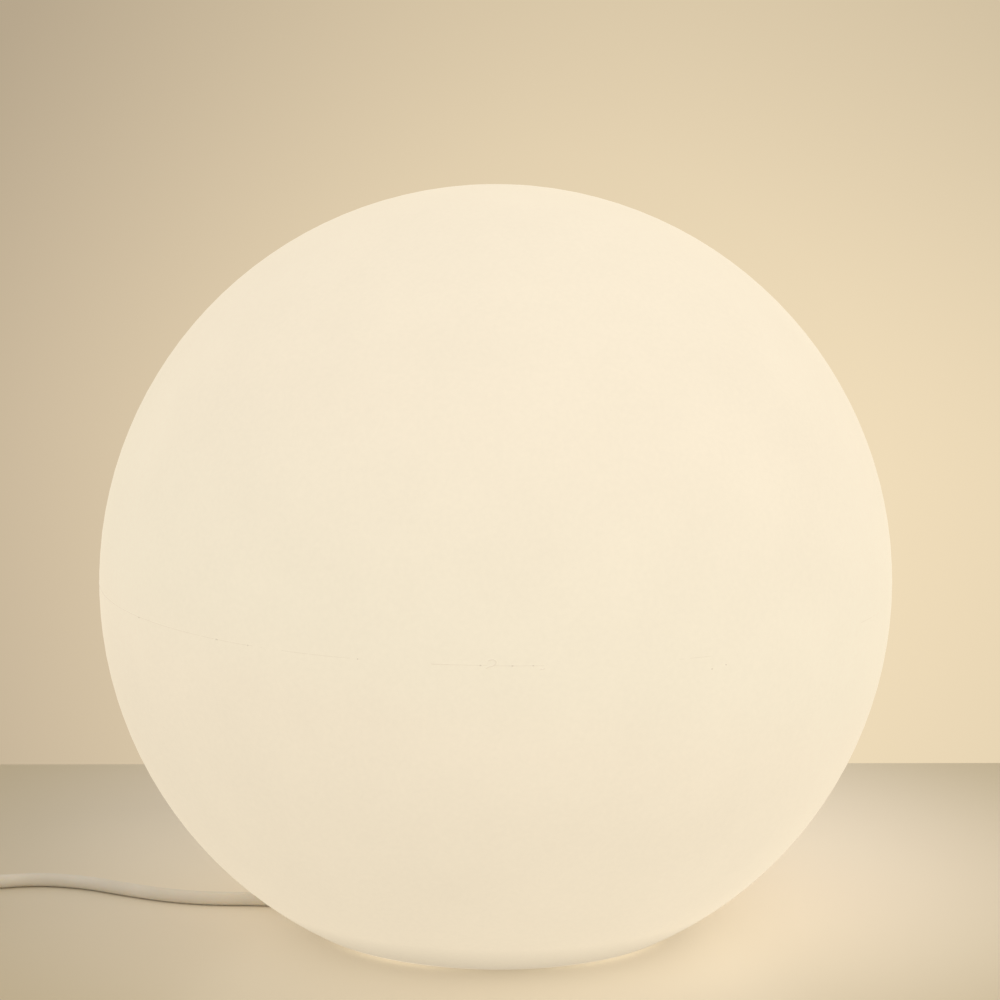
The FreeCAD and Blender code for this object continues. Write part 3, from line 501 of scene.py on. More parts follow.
# Slow and quick drift of the strength: waves for each degree and a seed, and how much the drift weighs
LINE_DRIFT = [(0.21, 4.7), (1.1, 9.1)]
DRIFT_WEIGHT = 0.7
# Section from edge to edge: shares of the line's width and height, where 0 is a root this deep in the skin
LINE_SECTION = [(-0.5, 0.0), (-0.22, 0.7), (0.0, 1.0), (0.22, 0.7), (0.5, 0.0)]
LINE_ROOT = 0.3 * MM
# Share of its width that the weakest line has
LINE_THINNEST = 0.55
# How far the line wanders up and down, and in how many waves for each degree
LINE_WANDER, WANDER_RATE = 0.12 * MM, 0.05
# Below this strength the line sinks, and where it fades out it runs this far under the skin
LINE_WEAK, LINE_SUNK = 0.3, 0.16 * MM
# The line runs this far above the globe's widest place
LINE_LIFT = 0.5 * MM
LINE_SEGMENTS = 1440
# Small nibs of flash on and near the line: degrees, length and height in mm, and mm above the line
NIBS = [
    (-58.0, 1.4, 0.6, -0.2), (-40.0, 1.8, 0.5, 0.0), (-34.5, 0.8, 0.25, 0.0), (-18.0, 0.7, 0.2, 0.0),
    (-1.8, 1.1, 0.3, 0.0), (2.3, 1.1, 0.4, 0.0), (5.0, 1.0, 0.4, 0.1), (29.8, 1.0, 0.25, -6.1),
    (32.0, 0.8, 0.25, -4.9), (112.0, 1.2, 0.35, 0.0), (164.0, 0.9, 0.35, 0.2), (-131.0, 1.3, 0.4, 0.0),
]
# A nib goes under the skin by this share of its height
NIB_HALF_WIDTH, NIB_SUNK = 0.35 * MM, 0.4
NIB_SIDES, NIB_RINGS = 6, 10
# The curled hair of flash at the front and a short tick beside it: mm to the right and mm above the line
CURL = [(-3.8, -1.4), (-2.6, -0.5), (-1.3, -0.3), (0.1, 0.3), (0.9, 1.4), (0.3, 2.5), (-1.3, 3.0),
        (-2.9, 2.2)]
TICK = [(20.7, -1.3), (21.7, -1.9), (22.6, -1.2)]
# A hair's middle stands off the skin by this share of its radius
HAIR_RADIUS, HAIR_PROUD = 0.24 * MM, 0.4


def on_globe(angle, lift, proud):
    """Point on the globe's skin: degrees from the front towards +X, metres above the line, metres proud."""
    turn = math.radians(angle)
    reach = math.sqrt(GLOBE_RADIUS ** 2 - (LINE_LIFT + lift) ** 2) + proud
    return Vector((reach * math.sin(turn), -reach * math.cos(turn), GLOBE_CENTRE + LINE_LIFT + lift))


def line_strength(angle):
    """How strong the mould line is at an angle, from its stretches and a seeded drift."""
    angle = (angle + 180) % 360 - 180
    strength = LINE_BEHIND
    for start, end, value in LINE_STRETCHES:
        if start <= angle < end:
            strength = value
    drift = sum(noise.noise(Vector((angle * rate, seed, 0.0))) for rate, seed in LINE_DRIFT)
    return max(0.0, min(LINE_MOST, strength * (1.0 + DRIFT_WEIGHT * drift) - LINE_LESS))


def build_line(shape):
    """Low rounded ridge round the globe, which thins out and sinks into the skin where it is weak."""
    settings = bpy.context.scene.globe_light
    rows = []
    for i in range(LINE_SEGMENTS):
        angle = -180 + 360 * i / LINE_SEGMENTS
        strength = line_strength(angle)
        sunk = LINE_SUNK * (1 - min(1.0, strength / LINE_WEAK))
        wander = LINE_WANDER * noise.noise(Vector((angle * WANDER_RATE, 1.0, 0.0)))
        width = settings.line_width * (LINE_THINNEST + (1 - LINE_THINNEST) * strength)
        height = settings.line_height * strength
        row = []
        for side, share in LINE_SECTION:
            proud = height * share - sunk if share > 0 else -LINE_ROOT
            row.append(shape.verts.new(on_globe(angle, wander + side * width, proud)))
        rows.append(row)
    join_rows(shape, rows, rows[1:] + rows[:1])


def build_nibs(shape):
    """Each nib is a small rounded lump, longer along the line than across it."""
    for angle, length, height, lift in NIBS:
        half = math.degrees(length * MM / 2 / GLOBE_RADIUS)
        rings = []
        for i in range(1, NIB_RINGS):
            share = -1 + 2 * i / NIB_RINGS
            body = math.sqrt(1 - share ** 2)
            ring = []
            for k in range(NIB_SIDES):
                turn = TURN * k / NIB_SIDES
                up = NIB_HALF_WIDTH * body * math.cos(turn) + lift * MM
                out = height * MM * body * math.sin(turn) * (1.0 if math.sin(turn) > 0 else NIB_SUNK)
                ring.append(shape.verts.new(on_globe(angle + half * share, up, out)))
            rings.append(ring)
        ends = [shape.verts.new(on_globe(angle + half * side, lift * MM, 0.0)) for side in (-1, 1)]
        close_ends(shape, ends[0], rings, ends[1])


class GARDENGLOBE_OT_globe(bpy.types.Operator):
    """Finish the moulded globe: its glowing wall, the mould line round its middle, flash and inserts"""
    bl_idname = "garden_globe.globe"
    bl_label = "Globe"

    def execute(self, context):
        settings = context.scene.globe_light
        lit = settings.wall, settings.glow, settings.glow_strength
        finish_nodes(moulded_polyethylene("rotomoulded_polyethylene", *lit), "globe_shell")
        # The mould line and its hairs are a tone darker: painted shade along the ridge
        flash = moulded_polyethylene("flash_with_painted_shade", *lit, tone=0.92)
        mesh_piece("mould_line", build_line, "globe", flash, angle=180)
        # The nibs are darker than the skin and the line
        cut = moulded_polyethylene("darker_nibs", *lit, tone=0.82)
        mesh_piece("flash_nibs", build_nibs, "globe", cut, angle=180)
        for name, points in (("flash_curl", CURL), ("flash_tick", TICK)):
            on_skin = [on_globe(math.degrees(right * MM / GLOBE_RADIUS), up * MM, HAIR_RADIUS * HAIR_PROUD)
                       for right, up in points]
            tube_piece(name, on_skin, HAIR_RADIUS, "globe", flash,
                       bevel=2, resolution=12)
        finish_nodes(metal("turned_brass"), "threaded_inserts")
        return {"FINISHED"}


# Screws that close the lamp base, in the corners of the box that holds all four
SCREW_TURNS = [math.radians(angle) for angle in (45, 135, 225, 315)]
SCREW_ROOT, SCREW_CREST, SCREW_PITCH = 1.6 * MM, 1.95 * MM, 0.7 * MM
SCREW_HEAD_RADIUS, SCREW_HEAD_HEIGHT, SCREW_HEAD_ROUND = 4.0 * MM, 2.6 * MM, 1.2 * MM
# Shank above the head: where its rows and its thread start, and the point's height and share of width
SHANK_LOW, THREAD_LOW, POINT_HEIGHT, POINT_SHARE = 0.3 * MM, 0.4 * MM, 1.0 * MM, 0.55
SHANK_ROWS = 132
# Cross recess: (radius, depth) from its floor to the head's face, how far the cross reaches, and its shape
RECESS = [(0.0, 1.5 * MM), (0.5 * MM, 1.5 * MM), (1.9 * MM, 0.25 * MM), (2.4 * MM, 0.0)]
RECESS_REACH, RECESS_ARM, RECESS_CORNER = 1.95 * MM, 0.35, 0.25
# Threaded tube that carries the lampholder, M10 by 1
TUBE_PITCH, TUBE_THREAD, TUBE_WALL = 1.0 * MM, 0.5 * MM, 1.0 * MM
TUBE_CHAMFER, TUBE_RUNOUT, TUBE_ROWS = 0.4 * MM, 0.6 * MM, 100
THREAD_SEGMENTS = 32


def build_screws(shape):
    """Pan heads with a cross recess, and threaded shanks that stand up through the flange."""
    under = SCREWS_LOW.z + SCREW_HEAD_HEIGHT
    tip = SCREWS_HIGH.z
    thread = thread_offset(SCREW_PITCH, SCREW_CREST - SCREW_ROOT, under + THREAD_LOW, tip - POINT_HEIGHT,
                           SCREW_PITCH)
    profile = [(radius, SCREWS_LOW.z + depth) for radius, depth in RECESS]
    for turn in steps(0.0, math.pi / 2, ROUND_STEPS):
        profile.append((SCREW_HEAD_RADIUS - SCREW_HEAD_ROUND * (1 - math.sin(turn)),
                        SCREWS_LOW.z + SCREW_HEAD_ROUND * (1 - math.cos(turn))))
    profile += [(SCREW_HEAD_RADIUS, under), (SCREW_CREST, under)]
    profile += [(SCREW_CREST, z) for z in steps(under + SHANK_LOW, tip - POINT_HEIGHT, SHANK_ROWS)]
    profile += [(SCREW_CREST * POINT_SHARE, tip), (0.0, tip)]

    def offset(angle, radius, height):
        if height > under:
            return thread(angle, radius, height)
        if radius <= RECESS_REACH:
            return radius * (RECESS_ARM * math.sqrt(abs(math.cos(2 * angle))) - RECESS_CORNER)
        return 0.0

    radius = (SCREWS_HIGH.x - SCREW_HEAD_RADIUS) / math.cos(SCREW_TURNS[0])
    for turn in SCREW_TURNS:
        spun_cap(shape, profile, THREAD_SEGMENTS, (radius * math.cos(turn), radius * math.sin(turn)), offset)


def build_tube(shape):
    """Tube threaded outside and plain inside, with chamfered ends."""
    low, high = TUBE_LOW.z, TUBE_HIGH.z
    outer = TUBE_HIGH.x
    inner = outer - TUBE_WALL
    thread = thread_offset(TUBE_PITCH, TUBE_THREAD, low + TUBE_CHAMFER / 2, high - TUBE_CHAMFER / 2,
                           TUBE_RUNOUT)
    profile = [(inner, low), (outer - TUBE_CHAMFER, low)]
    profile += [(outer, z) for z in steps(low + TUBE_CHAMFER, high - TUBE_CHAMFER, TUBE_ROWS)]
    profile += [(outer - TUBE_CHAMFER, high), (inner, high)]

    def offset(angle, radius, height):
        return thread(angle, radius, height) if radius > inner + TUBE_WALL / 2 else 0.0

    lathe(shape, profile, THREAD_SEGMENTS, offset)


class GARDENGLOBE_OT_closure(bpy.types.Operator):
    """Finish the lamp base, its gasket and screws, the gland and the threaded tube"""
    bl_idname = "garden_globe.closure"
    bl_label = "Lamp Base and Gland"

    def execute(self, context):
        settings = context.scene.lamp_parts
        finish_nodes(moulded_plastic("moulded_polypropylene", settings.base), "lamp_base")
        finish_nodes(rubber("epdm_rubber", "#2B2B2B"), "base_gasket", "gland_seal", "gland_washer")
        polyamide = moulded_plastic("moulded_polyamide", "#D9D8D3")
        finish_nodes(polyamide, "gland_body", "gland_nut", "gland_locknut")
        zinc = metal("zinc_plated_steel")
        finish_nodes(zinc, "holder_tube_nut")
        mesh_piece("closing_screws", build_screws, "lamp", zinc, ["base_screws"], angle=50)
        mesh_piece("threaded_tube", build_tube, "lamp", zinc, ["holder_tube"], angle=60)
        return {"FINISHED"}


# Grip grooves of the lampholder: round-bottomed, in line with those of its cap, ending below the collar
GRIP_RADIUS = 1.2 * MM
GRIP_STEPS = 20
# Plain edge below the grooves' rows, and room above them for the grooves' round ends
GRIP_LOW, GRIP_HIGH, GRIP_ROWS, GRIP_END_ROWS = 1.5 * MM, 3.0 * MM, 6, 8
COLLAR_HEIGHT, COLLAR_STEP = 8.0 * MM, 0.9 * MM
HOLDER_WALL, HOLDER_TOP, HOLDER_MOUTH = 2.0 * MM, 2.0 * MM, 15.1 * MM
# Chamfer at the holder's foot, and roundings of its grip, of its lip and of its mouth
FOOT_CHAMFER, GRIP_ROUND, LIP_ROUND, MOUTH_ROUND = 0.3 * MM, 0.45 * MM, 1.0 * MM, 0.5 * MM
QUARTER_STEPS = 5
# Rolled sleeve: its bore from the node's outside, its sheet, its thread, and the thread's share in the bore,
# where it leaves the cap its room; then the plain ends below and above the thread
SLEEVE_BORE, SLEEVE_SHEET, SLEEVE_THREAD, SLEEVE_INSIDE = 0.5 * MM, 0.35 * MM, 0.35 * MM, 0.3
SLEEVE_LOW_END, SLEEVE_HIGH_END, SLEEVE_RUNOUT, SLEEVE_ROWS = 2 * MM, 1 * MM, 2 * MM, 90
# Segments round the sleeve and the bulb's cap
ROLLED_SEGMENTS = 64


def grip_offset(count, depth, top):
    """Radius change that sinks round-bottomed grooves into the holder's side, up to a round end."""
    place = HOLDER_HIGH.x + GRIP_RADIUS - depth
    pitch = TURN / count

    def offset(angle, radius, height):
        swing = (angle + pitch / 2) % pitch - pitch / 2
        past = max(0.0, height - top)
        room = GRIP_RADIUS ** 2 - past ** 2 - (place * math.sin(swing)) ** 2
        return min(0.0, place * math.cos(swing) - math.sqrt(room) - radius) if room > 0 else 0.0
    return offset


def quarter(across, up, radius, start):
    """Points of a quarter turn about a place in the profile, from an angle in degrees, counter-clockwise."""
    turns = [math.radians(angle) for angle in steps(start, start + 90, QUARTER_STEPS)]
    return [(across + radius * math.cos(turn), up + radius * math.sin(turn)) for turn in turns]


def build_holder_shell(shape):
    """Upper half of the lampholder: grooved grip, a collar stepped in, and a rounded lip."""
    settings = bpy.context.scene.lamp_parts
    low, high = HOLDER_LOW.z, HOLDER_HIGH.z
    radius = HOLDER_HIGH.x
    inner = radius - HOLDER_WALL
    collar = high - COLLAR_HEIGHT
    collar_radius = radius - COLLAR_STEP
    top = collar - GRIP_HIGH
    profile = [(inner, low), (radius - FOOT_CHAMFER, low), (radius, low + FOOT_CHAMFER)]
    profile += [(radius, height) for height in steps(low + GRIP_LOW, top, GRIP_ROWS)]
    profile += [(radius, height) for height in steps(top, top + GRIP_RADIUS, GRIP_END_ROWS)[1:]]
    profile += quarter(radius - GRIP_ROUND, collar - GRIP_ROUND, GRIP_ROUND, 0)
    profile += [(collar_radius, collar)]
    profile += quarter(collar_radius - LIP_ROUND, high - LIP_ROUND, LIP_ROUND, 0)
    profile += quarter(HOLDER_MOUTH + MOUTH_ROUND, high - MOUTH_ROUND, MOUTH_ROUND, 90)
    profile += [(HOLDER_MOUTH, high - HOLDER_TOP), (inner, high - HOLDER_TOP)]
    lathe(shape, profile, settings.grip_count * GRIP_STEPS,
          grip_offset(settings.grip_count, settings.grip_depth, top))


def build_sleeve(shape):
    """Rolled brass sleeve whose rounded thread takes the bulb's cap."""
    pitch = bpy.context.scene.bulb_parts.cap_pitch
    inner = SLEEVE_HIGH.x - SLEEVE_BORE
    low, high = SLEEVE_LOW.z, SLEEVE_HIGH.z
    thread = thread_offset(pitch, SLEEVE_THREAD, low + SLEEVE_LOW_END, high - SLEEVE_HIGH_END, SLEEVE_RUNOUT)
    heights = steps(low, high, SLEEVE_ROWS)
    profile = [(inner + SLEEVE_SHEET, z) for z in heights] + [(inner, z) for z in reversed(heights)]

    def offset(angle, radius, height):
        return thread(angle, radius, height) * (1.0 if radius > inner + SLEEVE_SHEET / 2 else SLEEVE_INSIDE)

    lathe(shape, profile, ROLLED_SEGMENTS, offset)


class GARDENGLOBE_OT_lampholder(bpy.types.Operator):
    """Finish the lampholder: grooved halves, ceramic carrier, contacts, terminals and the flex inside"""
    bl_idname = "garden_globe.lampholder"
    bl_label = "Lampholder"

    def execute(self, context):
        settings = context.scene.lamp_parts
        white = moulded_plastic("moulded_pbt", settings.holder)
        finish_nodes(white, "holder_cap")
        mesh_piece("holder_shell_ribbed", build_holder_shell, "lamp", white,
                   ["holder_shell"], angle=35)
        brass = metal("rolled_brass")
        mesh_piece("rolled_sleeve", build_sleeve, "lamp", brass, ["thread_sleeve"], angle=60)
        finish_nodes(brass, "centre_contact", "terminals")
        finish_nodes(metal("bright_steel"), "terminal_screws")
        finish_nodes(moulded_plastic("pressed_steatite", "#DDD6C8"), "contact_carrier")
        finish_nodes(extruded_pvc("sheath_inside", "#E3DED3"), "inner_flex")
        finish_nodes(extruded_pvc("brown_core", "#6B3E22"), "core_brown")
        finish_nodes(extruded_pvc("blue_core", "#2F5F9E"), "core_blue")
        return {"FINISHED"}


# Screw cap of the bulb: its sheet, the taper and edge at its bottom, its thread, and the plain end above that
CAP_SHEET, CAP_TAPER, CAP_EDGE = 0.3 * MM, 1.5 * MM, 0.8 * MM
CAP_THREAD, CAP_RUNOUT, CAP_PLAIN, CAP_ROWS = 1.1 * MM, 1.4 * MM, 0.8 * MM, 72


def build_cap(shape):
    """Drawn screw cap of the bulb with its rounded, rolled thread."""
    pitch = bpy.context.scene.bulb_parts.cap_pitch
    low, high = CAP_LOW.z, CAP_HIGH.z
    outer = CAP_HIGH.x
    thread = thread_offset(pitch, CAP_THREAD, low + CAP_TAPER, high - CAP_PLAIN, CAP_RUNOUT)
    heights = steps(low + CAP_TAPER, high, CAP_ROWS)
    profile = [(outer - CAP_TAPER - CAP_EDGE, low), (outer - CAP_TAPER, low)]
    profile += [(outer, z) for z in heights]
    profile += [(outer - CAP_SHEET, z) for z in reversed(heights)]
    lathe(shape, profile, ROLLED_SEGMENTS, thread)


class GARDENGLOBE_OT_bulb(bpy.types.Operator):
    """Finish the bulb: threaded cap, black glass insulator, housing, lit boards and the opal diffuser"""
    bl_idname = "garden_globe.bulb"
    bl_label = "Bulb"

    def execute(self, context):
        settings = context.scene.bulb_parts
        nickel = metal("nickel_plated_brass")
        mesh_piece("threaded_cap", build_cap, "bulb", nickel, ["bulb_cap"], angle=60)
        finish_nodes(nickel, "bulb_tip")
        finish_nodes(moulded_plastic("vitrite", "#17130F"), "bulb_insulator")
        finish_nodes(moulded_plastic("moulded_polycarbonate", "#F3F2EE"), "bulb_housing")
        finish_nodes(lit_opal("opal_polycarbonate", settings.opal, settings.opal_strength), "bulb_diffuser")
        finish_nodes(metal("white_board_on_aluminium"), "led_board")
        finish_nodes(lit_opal("phosphor_gel", "#F2D75A", settings.opal_strength), "led_chips")
        finish_nodes(lacquered_board("circuit_board", "#3C6B46"), "driver_board")
        return {"FINISHED"}


# Height of the cord's middle line on the floor, and in the second layer of its coil, in metres
CORD_LOW = 0.0035
CORD_HIGH = 0.0113
# Its way, given in metres: down out of the gland, out under the foot, one wave, and on to the coil
STRETCH_POINTS = [
    (0.0, 0.0, 0.050), (0.0, 0.0, 0.0348), (-0.006, 0.0003, 0.0206), (-0.0168, 0.001, 0.0096),
    (-0.0312, 0.0019, CORD_LOW), (-0.052, 0.0039, CORD_LOW), (-0.084, 0.0054, CORD_LOW),
    (-0.116, 0.0084, CORD_LOW), (-0.147, 0.0076, CORD_LOW), (-0.171, 0.013, CORD_LOW),
    (-0.193, 0.0232, CORD_LOW), (-0.216, 0.0349, CORD_LOW), (-0.240, 0.0386, CORD_LOW),
    (-0.262, 0.0322, CORD_LOW), (-0.284, 0.0286, CORD_LOW), (-0.310, 0.0305, CORD_LOW),
]
# The coil in metres: where it starts, the radius of its innermost half turn, and its pitch from turn to turn
COIL_CENTRE_X = -0.331
COIL_START_Y = 0.0305
COIL_INNER_RADIUS = 0.0275
COIL_STEP = 0.009
COIL_HALF_TURNS_IN = 6
COIL_HALF_TURNS_OUT = 5
POINTS_PER_HALF_TURN = 8
# Straight lead into the coil and out of it, in metres
COIL_LEAD = 0.007
# From the coil's end to the plug, as steps from the coil's end, sagging a little between them
TAIL_STEPS = [
    (0.0, 0.0, 0.0), (0.0, -0.012, 0.0), (0.001, -0.025, -0.0016), (0.004, -0.038, -0.0026),
    (0.0076, -0.0506, -0.0018), (0.0092, -0.063, 0.0), (0.0092, -0.074, 0.0),
]


def coil_points():
    """Points of the coil's half turns: in along the floor, up over half a turn, and out on top of itself.
    The last half turn is cut to half its length, and the tail's first point goes straight on from it."""
    outer = COIL_INNER_RADIUS + COIL_HALF_TURNS_IN * COIL_STEP / 2
    middle = Vector((COIL_CENTRE_X, COIL_START_Y - outer, 0.0))
    half_step = COIL_STEP / 2
    radii = [outer - i * half_step for i in range(COIL_HALF_TURNS_IN + 1)]
    radii += [COIL_INNER_RADIUS + i * half_step for i in range(COIL_HALF_TURNS_OUT + 2)]
    half_turn = math.pi / POINTS_PER_HALF_TURN
    points = []
    for i in range(len(radii) - 1):
        mean = (radii[i] + radii[i + 1]) / 2
        side = 1 if i % 2 == 0 else -1
        hub = middle + Vector((0.0, side * (radii[i] - radii[i + 1]) / 2, 0.0))
        reach = mean / math.cos(half_turn / 2)
        count = POINTS_PER_HALF_TURN if i < len(radii) - 2 else POINTS_PER_HALF_TURN // 2
        for k in range(count):
            turn = (k + 0.5) * half_turn
            climbed = 0.0 if i < COIL_HALF_TURNS_IN else 1.0
            if i == COIL_HALF_TURNS_IN:
                climbed = (1 - math.cos(turn)) / 2
            height = CORD_LOW + (CORD_HIGH - CORD_LOW) * climbed
            points.append(hub + Vector((-side * reach * math.sin(turn), side * reach * math.cos(turn),
                                        height)))
    return points, hub + Vector((-side * mean, -COIL_LEAD, CORD_HIGH))


def cord_points():
    """The cord's whole way, from the gland to the plug's boot."""
    coil, coil_end = coil_points()
    start = Vector((COIL_CENTRE_X + COIL_LEAD, COIL_START_Y, CORD_LOW))
    tail = [coil_end + Vector(step) for step in TAIL_STEPS]
    return [Vector(p) for p in STRETCH_POINTS] + [start] + coil + tail


TIE_WIDTH = 10.0 * MM
TIE_THICKNESS = 1.0 * MM
TIE_OVERLAP = 15.0 * MM
# The band's end lies this far out over its start, at first by this share of it
TIE_LAP, TIE_LAP_START = 1.03 * MM, 0.3


def tie_line():
    """The tie's bends as centre, way out and reach: once round the turns on one side of the coil, and on over
    its own start, a little more than one thickness further out."""
    bend = CORD_LOW + TIE_THICKNESS / 2
    left = COIL_CENTRE_X + COIL_INNER_RADIUS + COIL_STEP / 4
    right = left + (COIL_HALF_TURNS_IN / 2 - 1) * COIL_STEP
    low = CORD_LOW + TIE_THICKNESS
    high = CORD_HIGH
    line = []
    corners = [(right, high), (left, high), (left, low), (right, low), (right, high)]
    for i, (x, z) in enumerate(corners):
        for share in steps(0.0, 1.0, ROUND_STEPS):
            turn = math.radians(90 * (i + share))
            lap = TIE_LAP * min(1.0, TIE_LAP_START + share) if i == 4 else 0.0
            line.append((Vector((x, 0, z)), Vector((math.cos(turn), 0, math.sin(turn))), bend + lap))
    line.append((Vector((right - TIE_OVERLAP, 0, high)), Vector((0, 0, 1)), bend + TIE_LAP))
    return line


def build_tie(shape):
    """Soft band wrapped round one side of the coil, its end pressed down on top."""
    middle_y = (COIL_LOW.y + COIL_HIGH.y) / 2
    rows = []
    for centre, out, reach in tie_line():
        row = []
        for side, thick in ((-1, 1), (1, 1), (1, -1), (-1, -1)):
            place = centre + out * (reach + thick * TIE_THICKNESS / 2)
            row.append(shape.verts.new((place.x, middle_y + side * TIE_WIDTH / 2, place.z)))
        rows.append(row)
    join_rows(shape, rows, rows[1:])
    shape.faces.new(rows[0])
    shape.faces.new(reversed(rows[-1]))


class GARDENGLOBE_OT_cord(bpy.types.Operator):
    """Lay the mains cord: out of the gland, over the floor, wound into its coil, with tie and plug"""
    bl_idname = "garden_globe.cord"
    bl_label = "Cord and Plug"

    def execute(self, context):
        settings = context.scene.mains_cord
        sheath = extruded_pvc("extruded_pvc", settings.sheath)
        cord = tube_piece("mains_cord", cord_points(), settings.diameter / 2, "lamp", sheath,
                          bevel=6, resolution=10)
        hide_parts("cord_stretch", "cord_coil", "cord_tail")
        band = rubber("rubber_tie", "#3A3A38")
        tie = mesh_piece("coil_tie", build_tie, "lamp", band, angle=30)
        finish_nodes(moulded_plastic("moulded_pvc", settings.sheath), "plug_boot", "plug_body")
        finish_nodes(metal("plated_pins"), "plug_pins")
        return {"FINISHED"}


# The table runs this far to the left, to the right and towards the eye
FLOOR_REACH = 16.0
CAMERA_PLACE = Vector((0.0, -1.6403, 0.5036))
CAMERA_AIM = Vector((0.0016, 0.0, 0.2170))
CAMERA_ROLL = math.radians(0.80)
# Soft lights: name, place, width in metres, power in watts and colour
LIGHTS = [
    ("key", (2.4, -1.6, 2.6), 4.2, 60.0, "#FFF4E2"),
    ("fill", (-2.2, -1.9, 2.0), 3.2, 8.0, "#FBFAF6"),
]
LIGHT_AIM = Vector((0, 0, 0.15))
ROOM_COLOUR = "#FFFAF3"
# The backdrop, each over a range of directions: its tones from left to right, painted light that is stronger
# on the right; its level from low to high, painted light that dims higher up; and its halo from far out to
# close, the globe's glow painted round it
TONES_ACROSS = (-0.28, 0.07)
LEVEL_HEIGHTS, LEVELS = (-0.17, -0.01), (0.97, 0.84)
HALO_RANGE, HALO_LEVELS = (0.977, 0.995), (0.89, 1.08)
# Direction in which the backdrop is lightest, a little above the globe's middle, where the globe's glow is
# painted on it
BACKDROP_BRIGHTEST = (0.0192, 0.9858, -0.1661)
# Middle of the pool of light painted on the table, and how far from it the painted light starts to fade and
# is gone
LIGHT_POOL_CENTRE = (0.03, 0.10, 0.0)
LIGHT_POOL_NEAR, LIGHT_POOL_FAR = 0.12, 0.42


def table_with_painted_light(near, far):
    """Satin paint on a flat table top, with a painted pool of light: a warm tone that is lightest round the
    globe and deepens away from it, and mirrors the globe a little where it touches."""
    made, tree = blank("table_with_painted_light")
    place = add(tree, "ShaderNodeTexCoord").outputs["Object"]
    away = add(tree, "ShaderNodeVectorMath", {0: place, 1: LIGHT_POOL_CENTRE}, operation="DISTANCE")
    share = add(tree, "ShaderNodeMapRange", {"Value": away.outputs["Value"], **span(LIGHT_POOL_NEAR, LIGHT_POOL_FAR)},
                interpolation_type="SMOOTHSTEP")
    clouds = mottled(tree, near, size=350 * MM, spread=0.02)
    # Painted pool of light: the near colour fades into the far one
    tone = add(tree, "ShaderNodeMix", {"Factor": share.outputs["Result"], "A": clouds, "B": linear(far)},
               data_type="RGBA")
    shade(tree, {"Base Color": tone.outputs["Result"], "Roughness": 0.3, "IOR": 1.45,
                 "Normal": grain(tree, size=2.5 * MM, depth=0.01 * MM)})
    return made


def area_light(name, place, size, power, code):
    """Round soft light that the camera doesn't see."""
    data = bpy.data.lights.new(name, "AREA")
    data.shape = "DISK"
    data.size = size
    data.energy = power
    data.color = linear(code)[:3]
    lamp = bpy.data.objects.new(name, data)
    lamp.location = place
    lamp.rotation_euler = (LIGHT_AIM - Vector(place)).to_track_quat("-Z", "Y").to_euler()
    lamp.visible_camera = False
    bpy.context.scene.collection.objects.link(lamp)


def room(settings):
    """World: pale light all round, and for the eye and for mirrors a backdrop with painted light, lighter to
    the right and round the globe."""
    world = bpy.data.worlds.new("room")
    world.use_nodes = True
    tree = world.node_tree
    tree.nodes.clear()
    facing = add(tree, "ShaderNodeTexCoord").outputs["Generated"]
    axes = add(tree, "ShaderNodeSeparateXYZ", {"Vector": facing})
    across = add(tree, "ShaderNodeMapRange", {"Value": axes.outputs["X"], **span(*TONES_ACROSS)},
                 interpolation_type="SMOOTHSTEP")
    tone = add(tree, "ShaderNodeMix", {"Factor": across.outputs["Result"],
                                       "A": linear(settings.backdrop_left),
                                       "B": linear(settings.backdrop_right)}, data_type="RGBA")
    # Painted light that dims higher up the backdrop
    rise = add(tree, "ShaderNodeMapRange", {"Value": axes.outputs["Z"], **span(*LEVEL_HEIGHTS, *LEVELS)},
               interpolation_type="SMOOTHSTEP")
    # Painted glow of the globe on the backdrop round it
    close = add(tree, "ShaderNodeVectorMath", {0: facing, 1: BACKDROP_BRIGHTEST}, operation="DOT_PRODUCT")
    halo = add(tree, "ShaderNodeMapRange", {"Value": close.outputs["Value"],
                                            **span(*HALO_RANGE, *HALO_LEVELS)})
    level = add(tree, "ShaderNodeMath", {0: rise.outputs["Result"], 1: halo.outputs["Result"]},
                operation="MULTIPLY")
    shown = add(tree, "ShaderNodeBackground", {"Color": tone.outputs["Result"], "Strength": level.outputs[0]})
    light = add(tree, "ShaderNodeBackground", {"Color": linear(ROOM_COLOUR), "Strength": settings.room_light})
    rays = add(tree, "ShaderNodeLightPath").outputs
    seen = rays["Is Camera Ray"]
    for name in ("Is Glossy Ray", "Is Transmission Ray"):
        seen = add(tree, "ShaderNodeMath", {0: seen, 1: rays[name]}, operation="MAXIMUM").outputs[0]
    both = add(tree, "ShaderNodeMixShader", {0: seen, 1: light.outputs[0], 2: shown.outputs[0]})
    add(tree, "ShaderNodeOutputWorld", {"Surface": both.outputs[0]})
    return world


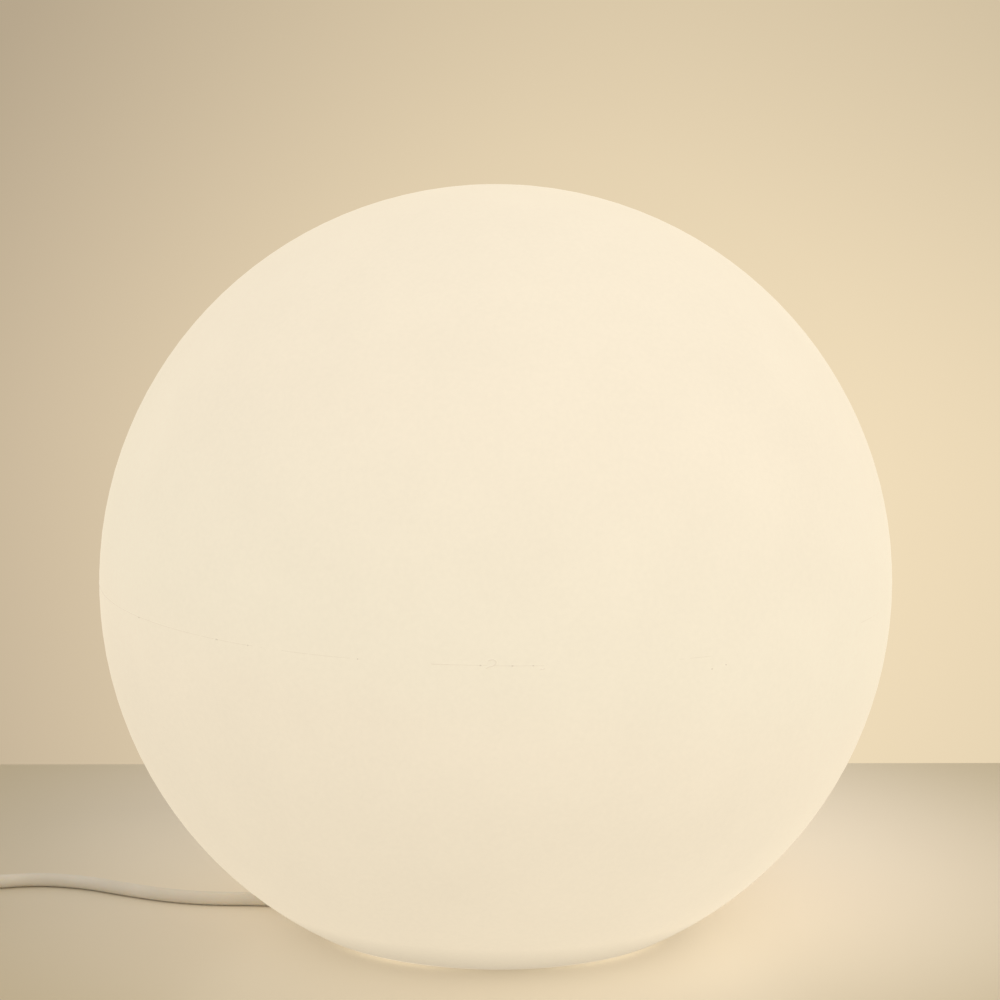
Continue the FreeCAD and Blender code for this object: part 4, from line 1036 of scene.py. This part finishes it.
class GARDENGLOBE_OT_stage(bpy.types.Operator):
    """Set the pale table, the soft lights, the backdrop and the camera"""
    bl_idname = "garden_globe.stage"
    bl_label = "Stage"

    def execute(self, context):
        scene = context.scene
        settings = scene.studio
        data = bpy.data.meshes.new("table")
        reach = FLOOR_REACH
        rise = reach * settings.table_slant
        data.from_pydata([(-reach, -reach, 0), (reach, -reach, 0), (reach, settings.table_depth + rise, 0),
                          (-reach, settings.table_depth - rise, 0)], [], [(0, 1, 2, 3)])
        table = bpy.data.objects.new("table", data)
        scene.collection.objects.link(table)
        fill_slots(table, table_with_painted_light(settings.table, settings.table_far))
        for light in LIGHTS:
            area_light(*light)
        scene.world = room(settings)
        camera_data = bpy.data.cameras.new("camera")
        camera_data.lens = settings.lens
        camera_data.sensor_width = 36.0
        camera_data.clip_start = 0.05
        camera_data.clip_end = 60.0
        camera = bpy.data.objects.new("camera", camera_data)
        camera.location = CAMERA_PLACE
        camera.rotation_mode = "QUATERNION"
        facing = (CAMERA_AIM - CAMERA_PLACE).to_track_quat("-Z", "Y")
        camera.rotation_quaternion = facing @ Quaternion((0, 0, 1), CAMERA_ROLL)
        scene.collection.objects.link(camera)
        scene.camera = camera
        scene.view_settings.view_transform = "Standard"
        return {"FINISHED"}


OPERATORS = [
    GARDENGLOBE_OT_globe,
    GARDENGLOBE_OT_closure,
    GARDENGLOBE_OT_lampholder,
    GARDENGLOBE_OT_bulb,
    GARDENGLOBE_OT_cord,
    GARDENGLOBE_OT_stage,
]
GROUPS = {
    "globe_light": GlobeSettings,
    "lamp_parts": LampSettings,
    "bulb_parts": BulbSettings,
    "mains_cord": CordSettings,
    "studio": StageSettings,
}


class GARDENGLOBE_PT_panel(bpy.types.Panel):
    """Settings and steps of the globe light"""
    bl_idname = "GARDENGLOBE_PT_panel"
    bl_label = "Garden Globe Light"
    bl_space_type = "VIEW_3D"
    bl_region_type = "UI"
    bl_category = "Globe Light"

    def draw(self, context):
        for name in GROUPS:
            group = getattr(context.scene, name)
            for key in group.__annotations__:
                self.layout.prop(group, key)
        for operator in OPERATORS:
            self.layout.operator(operator.bl_idname)


CLASSES = [*GROUPS.values(), *OPERATORS, GARDENGLOBE_PT_panel]


def register():
    for kind in CLASSES:
        bpy.utils.register_class(kind)
    for name, group in GROUPS.items():
        setattr(bpy.types.Scene, name, bpy.props.PointerProperty(type=group))


def unregister():
    for name in GROUPS:
        delattr(bpy.types.Scene, name)
    for kind in reversed(CLASSES):
        bpy.utils.unregister_class(kind)


def main():
    register()
    bpy.ops.garden_globe.globe()
    bpy.ops.garden_globe.closure()
    bpy.ops.garden_globe.lampholder()
    bpy.ops.garden_globe.bulb()
    bpy.ops.garden_globe.cord()
    bpy.ops.garden_globe.stage()


if __name__ == "__main__":
    main()
